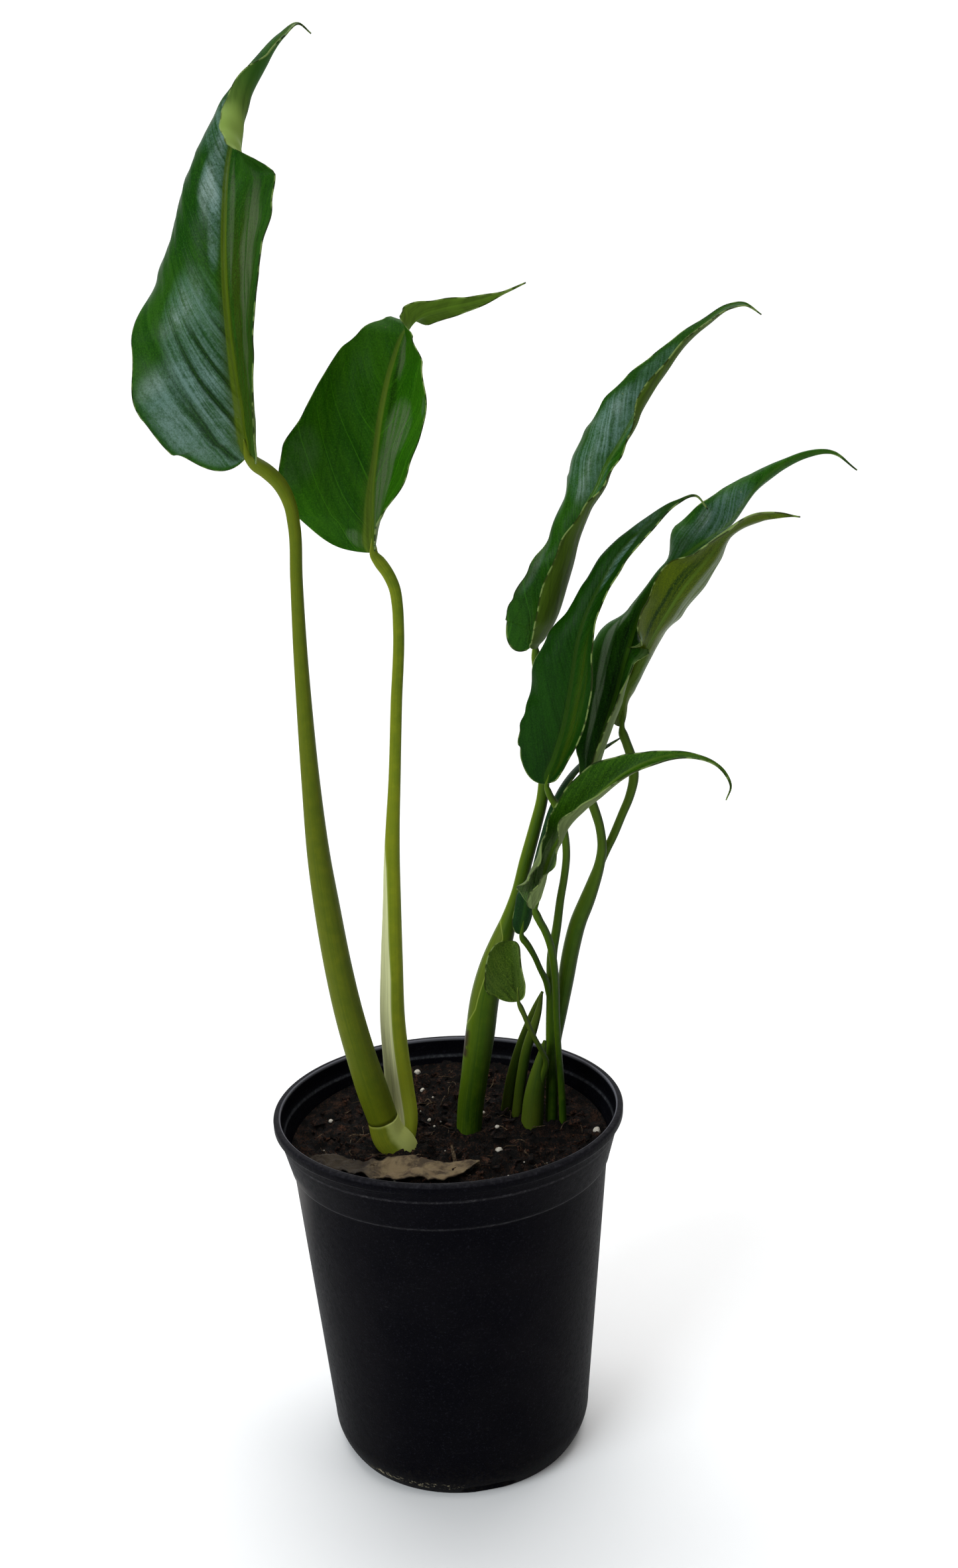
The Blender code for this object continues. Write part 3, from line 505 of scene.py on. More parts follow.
# %% The soil bed
SOIL_LEVEL = 153.5
SOIL_MOUND = 2.5
SOIL_RISE = 4.5
SOIL_RINGS = 74
SOIL_STEPS = 288
CLEARANCE = 0.3
PERLITE = [(23, -20, 2.1), (-10, 13, 1.1), (-14, 46, 1.3), (-17, 67, 1.9), (70, -1, 2.2), (16, 17, 1.4),
           (29.5, 7, 1.2), (22.7, 0, 1.0), (-58, 18, 1.2), (14, 60, 1.3), (45, -40, 1.4), (-30, -50, 1.2)]


def wall_radius(height):
    """The pot's inner radius at a height between its floor and its shoulder."""
    heights = [FLOOR, BASE_CORNER, STEP_HEIGHT - 1, STEP_HEIGHT + 1.5, SHOULDER_HEIGHT]
    radii = [FLOOR_RADIUS, BASE_RADIUS, STEP_RADIUS, STEP_RADIUS + 0.6, SHOULDER_RADIUS]
    return float(np.interp(height, heights, radii)) - WALL


def soil_edge(y):
    """The soil's level at the wall, which rises towards the back."""
    return SOIL_LEVEL + SOIL_RISE * (max(0.0, y) / 72) ** 1.5


def mound(x, y):
    """The low mound that the solid has, without its perlite."""
    radius = math.hypot(x, y)
    height = soil_edge(y) + SOIL_MOUND * math.cos(min(1.0, radius / 75) * math.pi / 2)
    height += 0.9 * math.sin(x * 0.23 + 1.3) * math.sin(y * 0.19 + 0.4)
    return height + 0.6 * math.sin(x * 0.47 - y * 0.31) + 0.5 * math.sin(y * 0.61 + x * 0.29 + 2.0)


def crumbly(x, y):
    """The mound with lumps and crumbs on it."""
    lumps = noise.noise(Vector((x * 0.16, y * 0.16, 3.0)))
    crumbs = noise.noise(Vector((x * 0.42, y * 0.42, 7.0)))
    grit = noise.noise(Vector((x * 1.1, y * 1.1, 11.0)))
    return mound(x, y) + 1.6 * lumps + 2.6 * abs(crumbs) + 1.0 * grit - 0.9


def soil_bed():
    """The plug of soil: a turned form whose top is lifted into crumbs."""
    bottom = FLOOR + CLEARANCE
    levels = (bottom, BASE_CORNER, STEP_HEIGHT - 1, STEP_HEIGHT + 1.5, SOIL_LEVEL)
    side = [(wall_radius(height) - CLEARANCE, height) for height in levels]
    edge = side[-1][0]
    rings = range(SOIL_RINGS - 1, -1, -1)
    top = [(edge * ring / SOIL_RINGS, SOIL_LEVEL + 0.01) for ring in rings]
    bm = turned([(0, bottom)] + side + top, SOIL_STEPS)
    for vert in bm.verts:
        x, y = vert.co.x / MM, vert.co.y / MM
        if vert.co.z > (SOIL_LEVEL + 0.005) * MM and math.hypot(x, y) < edge - 0.5:
            vert.co.z = crumbly(x, y) * MM
        elif vert.co.z > (SOIL_LEVEL - 0.005) * MM:
            vert.co.z = soil_edge(y) * MM
    return bm


# %% [markdown]
# Damp peat is almost black in its hollows, a black that is partly its own and partly painted shade, and
# red-brown on its dry crests. Height isn't known to a shader, so the colours follow noise of the same grain
# as the crumbs.

# %% Peat and bark
def earth(name, dark, dry, glints):
    """Crumbly brown matter: two browns in patches, and a share of pale specks."""
    made = Finish(name, Specular_IOR_Level=0.12)
    spot = made.place()
    coarse = made.cloud(spot, 0.22, 5.0, 0.65)
    fine = made.cloud(spot, 1.3, 6.0, 0.75)
    specks = made.ramp(made.cloud(spot, 2.6, 2.0), 0.69, 0.76)
    brown = made.coats(
        dark,
        (made.ramp(coarse * 0.55 + fine * 0.65, 0.59, 0.72), dry),
        (specks * glints, (0.16, 0.12, 0.07)),
    )
    return made.wear(
        Base_Color=brown,
        Roughness=0.62 + fine * 0.35,
        Normal=made.bumps(fine + made.cloud(spot, 4.0, 3.0) * 0.4, 1.3),
    )


# The near-black of the peat and of the bark is partly their own colour and partly painted shade.
peat = earth("damp_peat", (0.0011, 0.0007, 0.0005), (0.042, 0.019, 0.010), 0.5)
bark = earth("bark_chips", (0.0022, 0.0012, 0.0008), (0.095, 0.040, 0.022), 0.3)
piece("soil_bed", soil_bed(), peat, "soil", "soil")

# %% [markdown]
# Loose crumbs are tiny balls with their corners pushed about, and chips are flat blocks. There are
# hundreds, so each keeps to about twenty faces. A seeded generator strews them, and none lands where a stem
# stands.

# %% Crumbs and chips
CRUMBS = 620
CHIPS = 170
SHARP_CHIP_EDGE = math.radians(35)
STEEPEST_TILT = 0.6

strewn = np.random.default_rng(21)
STEM_FEET = [(-27, -12, 11), (-23, -8, 9), (11, 2, 9), (49, 11, 5), (51, 22, 5), (55, 7, 4), (40, 6, 8),
             (30, 23, 5), (35, 15, 5)]


def free_spot(margin=0.0, reach=68.0):
    """A random place on the soil, clear of the stems."""
    while True:
        x, y = strewn.uniform(-reach, reach, 2)
        clear = all(math.hypot(x - fx, y - fy) > size + margin for fx, fy, size in STEM_FEET)
        if math.hypot(x, y) < reach and clear:
            return x, y


def tilted(x, y, height, size):
    """The matrix of a loose grain: its size, a random turn and its place."""
    turn = Matrix.Rotation(strewn.uniform(0, 2 * math.pi), 4, "Z")
    for axis in "XY":
        turn = turn @ Matrix.Rotation(strewn.uniform(-STEEPEST_TILT, STEEPEST_TILT), 4, axis)
    sized = Matrix.Diagonal((*(Vector(size) * MM), 1.0))
    return Matrix.Translation(Vector((x, y, height)) * MM) @ turn @ sized


def roughened(verts, amount):
    """Pushes each point about at random."""
    for vert in verts:
        vert.co += Vector(strewn.normal(0, amount * MM, 3))


def crumbs_and_chips():
    """The loose bits of bark as one mesh."""
    bm = bmesh.new()
    for _ in range(CRUMBS):
        x, y = free_spot()
        size = strewn.uniform(0.7, 2.4) * np.array([1.0, strewn.uniform(0.6, 1.0), strewn.uniform(0.4, 0.8)])
        matrix = tilted(x, y, crumbly(x, y) + 0.25 * size[2], size)
        made = bmesh.ops.create_icosphere(bm, subdivisions=1, radius=0.6, matrix=matrix)
        roughened(made["verts"], 0.12 * size[0])
    for _ in range(CHIPS):
        x, y = free_spot(2.0, 66.0)
        long = strewn.uniform(2.5, 7.5)
        size = (long, long * strewn.uniform(0.25, 0.6), strewn.uniform(0.7, 1.5))
        made = bmesh.ops.create_cube(bm, size=1, matrix=tilted(x, y, crumbly(x, y) + 0.5, size))
        roughened(made["verts"], 0.35)
    return bm


bark_piece = piece("bark_chips", crumbs_and_chips(), bark, "soil")
bark_piece.data.set_sharp_from_angle(angle=SHARP_CHIP_EDGE)

# %% [markdown]
# Perlite is volcanic glass popped like corn: white, light and pitted. The grains stand where the solid has
# its bumps. Blender starts its vector noise at another place in each session, so it gets a seed here, and
# the grains are the same every time.

# %% Perlite
PERLITE_DUST = 16

perlite_white = Finish("perlite", Specular_IOR_Level=0.3)
spot = perlite_white.place()
pits = perlite_white.cells(spot, 1.8)
soiling = perlite_white.ramp(perlite_white.cloud(spot, 0.9, 4.0), 0.52, 0.7)
perlite_white.wear(
    Base_Color=perlite_white.mix(soiling * 0.6, (0.50, 0.46, 0.39), (0.15, 0.11, 0.08)),
    Roughness=0.75 + pits * 0.2,
    Normal=perlite_white.bumps(pits, 0.3),
)


def perlite_grains():
    """The large grains, each pitted by noise, and a few small ones."""
    bm = bmesh.new()
    for x, y, size in PERLITE:
        matrix = tilted(x, y, crumbly(x, y) + 0.35 * size, (size, 0.85 * size, 0.75 * size))
        made = bmesh.ops.create_icosphere(bm, subdivisions=3, radius=1, matrix=matrix)
        for vert in made["verts"]:
            vert.co += Vector(noise.noise_vector(vert.co * 700)) * (0.22 * size * MM)
    for _ in range(PERLITE_DUST):
        x, y = free_spot()
        size = strewn.uniform(0.25, 0.7)
        matrix = tilted(x, y, crumbly(x, y) + 0.7, (size, size, 0.8 * size))
        bmesh.ops.create_icosphere(bm, subdivisions=1, radius=1, matrix=matrix)
    return bm


noise.seed_set(21)
piece("perlite", perlite_grains(), perlite_white, "soil")

# %% [markdown]
# ## Petioles
#
# A petiole carries the blade to the light. It is thick and half open at its foot, where the next leaf once
# slipped out of it, and thins to a wrist below the blade. Each is a tube along the solid's own points, with
# many more rows and sides. What a finish needs to know goes with the points: the angle round the stem, the
# height along it and the distance to the edge of its open, pale channel.

# %% Measured points: x, y, z and radius in millimetres
STEM_DEPTH = 15.0
NECK = 0.75
PETIOLES = {
    "tall_left": [
        (-30.4, -14, 170.3, 7.0), (-34.5, -15, 186, 7.2), (-38.5, -16, 203, 6.8), (-43.1, -17, 226, 6.5),
        (-46.6, -18, 250, 6.2), (-49.5, -19, 277, 5.8), (-51.3, -20, 298, 5.2), (-52.7, -21, 334, 4.1),
        (-53.2, -22, 369, 3.4), (-53.3, -22, 396, 3.0), (-53, -21, 423, 2.7), (-52.5, -21, 446, 2.7),
        (-53.6, -21, 454.5, 2.8), (-57.4, -21, 463.3, 3.1), (-62.8, -21, 469, 3.2), (-67, -20.5, 472, 3.0)],
    "second_left": [
        (-23, -11, 152, 5.2), (-21.4, -5.5, 164.5, 6.7), (-22.5, -2, 180, 6.7), (-23.4, -2, 196, 6.2),
        (-24, -2, 212, 5.9), (-22.8, -2, 244, 5.1), (-21.3, -2, 271, 4.2), (-20.3, -1.5, 291, 3.7),
        (-19, -1, 308, 3.2), (-17.3, 0, 327, 2.8), (-14.7, 2, 362, 2.6), (-11.9, 3, 397, 2.5),
        (-11.9, 3, 407, 2.5), (-12.8, 4, 414.5, 2.6), (-15.6, 4, 421.5, 2.7), (-19, 5, 426.5, 2.7)],
    "tall_middle": [
        (8.9, 2, 152, 5.9), (9.9, 3, 163, 6.1), (13.1, 4, 183, 6.4), (16.3, 5, 202, 6.9),
        (19.8, 6, 222, 6.7), (24.6, 6, 238, 6.1), (28.8, 7, 249, 5.0), (32.3, 8, 258, 3.8),
        (36.3, 9, 269, 3.1), (41, 10, 285, 3.1), (46, 12, 301, 2.9), (49.6, 13, 314, 2.7),
        (51.2, 15, 330, 2.5), (51.5, 17, 349, 2.3), (50.3, 19, 367, 2.0), (49, 20, 381, 1.8)],
    "front": [
        (49, 10.5, 154, 2.9), (50, 11, 181, 2.9), (50.5, 12, 201, 2.8), (51.4, 12, 221, 2.8),
        (51.8, 12, 238, 2.4), (54.2, 11, 251, 2.1), (56.4, 9, 266.5, 1.9), (58.4, 7, 278, 1.8),
        (59.5, 5, 288.5, 1.8), (58.8, 3, 300, 1.8), (57.3, 1, 307, 1.8), (55, -1, 314.5, 1.8),
        (52.6, -3, 319, 1.6), (51.4, -4, 322.5, 1.4)],
    "long_right": [
        (50.5, 25, 156, 2.2), (51, 23.5, 167, 2.2), (52.4, 22, 188, 2.5), (55.3, 20.5, 205, 3.1),
        (58.2, 20, 221.5, 3.8), (61.4, 19, 238.5, 4.0), (65, 18, 252, 3.9), (69, 17, 262, 3.7),
        (72.7, 16, 272, 3.1), (75.2, 14, 280.5, 2.5), (76.5, 13, 289, 2.2), (75.8, 12, 298.5, 2.1),
        (73.4, 10, 308, 2.2), (71, 8.5, 315, 2.1)],
    "right_open": [
        (73.5, 17, 269, 1.6), (76.5, 19, 280.5, 1.9), (79, 19, 286, 1.9), (82.4, 19, 293, 2.0),
        (86.5, 18, 303, 2.0), (90.3, 17, 312.5, 2.1), (92.2, 16, 322, 2.3), (91.4, 16, 330, 2.3),
        (89, 15, 338, 2.1), (87.2, 14.2, 343.5, 1.9)],
    "curled": [
        (54.3, 6.6, 155, 1.8), (54, 6.6, 176, 1.6), (53.2, 6, 193, 1.5), (52.7, 4.4, 211, 1.6),
        (52.6, 1.6, 228.5, 1.7), (51.8, -1, 239.5, 1.8), (50.4, -4, 249, 1.8), (47.8, -7, 257.5, 1.8),
        (45.6, -9, 262.5, 1.8), (44.3, -10, 266, 1.8)],
    "spoon": [
        (42, 6, 168, 1.8), (45, 3.5, 180, 1.6), (47, 0.5, 189.3, 1.4), (45, -3, 196, 1.2),
        (42.2, -6, 203, 1.2), (39.2, -10, 211.5, 1.2), (37, -13, 218.8, 1.2), (35.3, -14, 223.5, 1.2)],
    "quill": [
        (50.7, 11.6, 213, 1.5), (49.7, 10.5, 219, 1.5), (48.5, 8, 226.5, 1.6), (45.8, 4, 234, 1.4),
        (42.8, 1, 242.5, 1.4), (39.6, -1, 249, 1.6), (38, -1.8, 251.6, 1.6)],
}
CROWN = [(-22, -12, 150, 8.6), (-24.3, -12.5, 156, 8.6), (-28.2, -13.5, 162.2, 8.0), (-30.3, -14, 169.9, 7.2)]
SHEATHS = {
    "outer": [(27.4, 24, 154, 2.7), (31, 21, 174, 2.5), (35, 19, 189, 2.1), (39.4, 17, 201.5, 1.7),
              (43.6, 15, 212, 1.3), (46.8, 14, 219, 0.7)],
    "inner": [(32.6, 15.5, 157, 2.5), (35.6, 14, 177, 2.5), (38.6, 12, 192, 2.4), (42, 10, 203, 2.1),
              (44.6, 9, 212, 1.5), (46.2, 8.4, 220, 0.7)],
    "front": [(39.4, 6, 155, 5.3), (40.6, 6, 167, 4.9), (42.4, 5.5, 178, 3.9), (44.6, 5, 188, 2.6),
              (46.8, 4.5, 198, 0.8)],
}
print(len(PETIOLES), "petioles and", len(SHEATHS), "sheaths")

# %% [markdown]
# Each channel is given as a line of (height, share): left of that share of the stem's half width, seen from
# the front, the stem shows its pale inner side. A share of -1 is the stem's left edge, so there the channel
# closes.

# %% The stem builder
THINNEST = 0.15
NO_CHANNEL = ((0, -2.0), (1000, -2.0))
CHANNELS = {
    "second_left": [(150, 0.15), (176, 0.1), (200, -0.02), (235, -0.05), (262, -0.35), (288, -0.62),
                    (306, -1.15)],
    "tall_middle": [(205, -1.15), (216, -0.62), (232, -0.5), (243, -0.35), (250, -0.15), (257, -1.15)],
}


def stem(knots, sides, rows, flatten=1.0, channel=NO_CHANNEL, foot=0.0):
    """A tapered tube along the knots. foot is how far it goes on down into the soil."""
    if foot:
        first, second = np.array(knots[0]), np.array(knots[1])
        low = first - (second - first) * (foot / np.linalg.norm((second - first)[:3]))
        low[3] = first[3]
        knots = [tuple(low)] + list(knots)
    places = 1 - (1 - np.linspace(0, 1, rows + 1)) ** 1.2
    points = smooth_path(knots, places)
    frames = [frame_at(tangent) for tangent in np.gradient(points[:, :3], places, axis=0)]
    heights, shares = np.array(channel, float).T

    def place(column, row):
        _, away, right = frames[row]
        turn = 2 * math.pi * column / sides
        radius = max(THINNEST, points[row, 3])
        across = right * math.cos(turn) + away * (math.sin(turn) * flatten)
        ridges = 1 + 0.012 * math.sin(7 * turn + 1.0) + 0.008 * math.sin(13 * turn)
        point = Vector(points[row, :3]) + across * (radius * ridges)
        edge = float(np.interp(points[row, 2], heights, shares))
        inside = (edge - math.cos(turn)) * radius if math.sin(turn) < 0.35 else -9.0
        return point, (turn, points[row, 2], radius), (inside, math.cos(turn), math.sin(turn))

    return rolled_grid(sides, rows, place, ("stem", "channel"))


def joined(*parts):
    """Several bmeshes as one."""
    bm = parts[0]
    for part in parts[1:]:
        mesh = bpy.data.meshes.new("part")
        part.to_mesh(mesh)
        part.free()
        bm.from_mesh(mesh)
        bpy.data.meshes.remove(mesh)
    return bm


# %% [markdown]
# Under its skin a petiole is a bundle of fibres, so its bump and its colour run lengthwise. Each has its
# own colours at the foot, halfway up and at the top. The side towards the light is brighter and the other
# one darker. The open channel is cream, with a thin bright line along its edge. The middle petiole has a
# brown scar, and the stub under the left-hand two is pale on its right.

# %% Petiole skin
def stem_finish(name, low, middle, top, heights, contrast, cream=(0.37, 0.41, 0.10), gloss=0.42,
                scar=None, pale_side=0.0):
    """A stem's skin: colours at three heights, a cream channel and a scar's lowest and highest point."""
    made = Finish(name, Specular_IOR_Level=0.08)
    _, height, _ = made.parts(made.stored("stem"))
    inside, across, front = made.parts(made.stored("channel"))
    spot = made.place()
    fibres = made.cloud(made.vector(across * 9.0, front * 9.0, height * 0.02), 1.0, 4.0, 0.6)
    mottle = made.cloud(spot, 0.16, 4.0, 0.6)
    flecks = made.cloud(made.vector(across * 5.0, front * 5.0, height * 0.35), 1.0, 3.0)
    half_up = made.ramp(height, heights[0], heights[1])
    sunny = made.fall(across + (mottle - 0.5) * 0.6, -0.98, -0.10) * contrast * (0.35 + half_up * 0.65)
    shady = made.ramp(across + (fibres - 0.5) * 0.9, 0.0, 0.95) * contrast
    lit = [middle[0] * 2.1 + 0.02, middle[1] * 1.7 + 0.02, middle[2] * 1.5]
    skin = made.coats(
        low,
        (half_up, middle),
        (made.ramp(height, heights[2], heights[3]), top),
        (made.ramp(fibres * 0.6 + mottle * 0.5, 0.45, 0.72) * 0.35, lit),
        (sunny, lit),
        (shady, toned(middle, 0.30)),
        (made.ramp(flecks, 0.70, 0.76) * 0.5, (0.10, 0.075, 0.02)),
        (made.ramp(across + (mottle - 0.5) * 0.5, 0.05, 0.45) * pale_side, cream),
        (made.ramp(inside, -0.12, 0.12), made.mix(made.ramp(fibres, 0.35, 0.65), cream, toned(cream, 0.72))),
    )
    if scar:
        low_end, high_end = scar
        scarred = made.band(height, low_end - 1, low_end + 1, high_end - 1, high_end + 1)
        scarred = scarred * made.fall(across + (fibres - 0.5) * 0.3, -0.90, -0.60)
        scarred = scarred * made.ramp(mottle, 0.30, 0.42)
        skin = made.mix(scarred * 0.9, skin, (0.030, 0.014, 0.006))
    skin = made.mix(made.band(inside, -0.75, -0.35, -0.2, 0.05) * 0.55, skin, (0.30, 0.36, 0.06))
    return made.wear(
        Base_Color=skin,
        Roughness=gloss - 0.05 + fibres * 0.12 + mottle * 0.08,
        Normal=made.bumps(fibres * 0.7 + made.cloud(spot, 1.5, 2.0) * 0.3, 0.25),
    )


left_skin = stem_finish(
    "tall_left_skin", (0.120, 0.150, 0.007), (0.070, 0.098, 0.004), (0.088, 0.124, 0.005),
    (158, 190, 300, 420), contrast=0.35)
second_skin = stem_finish(
    "second_left_skin", (0.27, 0.32, 0.022), (0.145, 0.190, 0.008), (0.092, 0.140, 0.006),
    (165, 225, 300, 400), contrast=0.3, cream=(0.76, 0.78, 0.40))
crown_skin = stem_finish(
    "crown_skin", (0.175, 0.205, 0.025), (0.120, 0.150, 0.010), (0.19, 0.22, 0.035),
    (150, 160, 168.6, 169.6), contrast=0.3, cream=(0.40, 0.44, 0.13), pale_side=0.75)
middle_skin = stem_finish(
    "middle_skin", (0.010, 0.034, 0.0010), (0.034, 0.075, 0.002), (0.036, 0.085, 0.004),
    (158, 215, 250, 330), contrast=0.85, cream=(0.105, 0.155, 0.010), scar=(192.0, 205.0))
clump_skin = stem_finish(
    "clump_skin", (0.010, 0.036, 0.0012), (0.032, 0.078, 0.003), (0.055, 0.110, 0.007),
    (165, 215, 240, 290), contrast=0.8)

# %% [markdown]
# ## The blades
#
# A blade is described as a cutter would: how wide the flat half blade is along the midrib, and how each
# half is rolled. 0 degrees is to the right, 90 away, 180 to the left and -90 towards the viewer. The values
# are the solid's own, measured from the photograph.

# %% The leaves' measurements
class Leaf:
    """A blade's midrib and rolls. shares are the parts of the width that each half has."""

    def __init__(self, width, widest, blunt, taper, midrib, rolls, lobe=0.0, shares=((0, 1, 1), (1, 1, 1))):
        self.width = width
        self.widest = widest
        self.blunt = blunt
        self.taper = taper
        self.midrib = midrib
        self.rolls = rolls
        self.lobe = lobe
        self.shares = shares


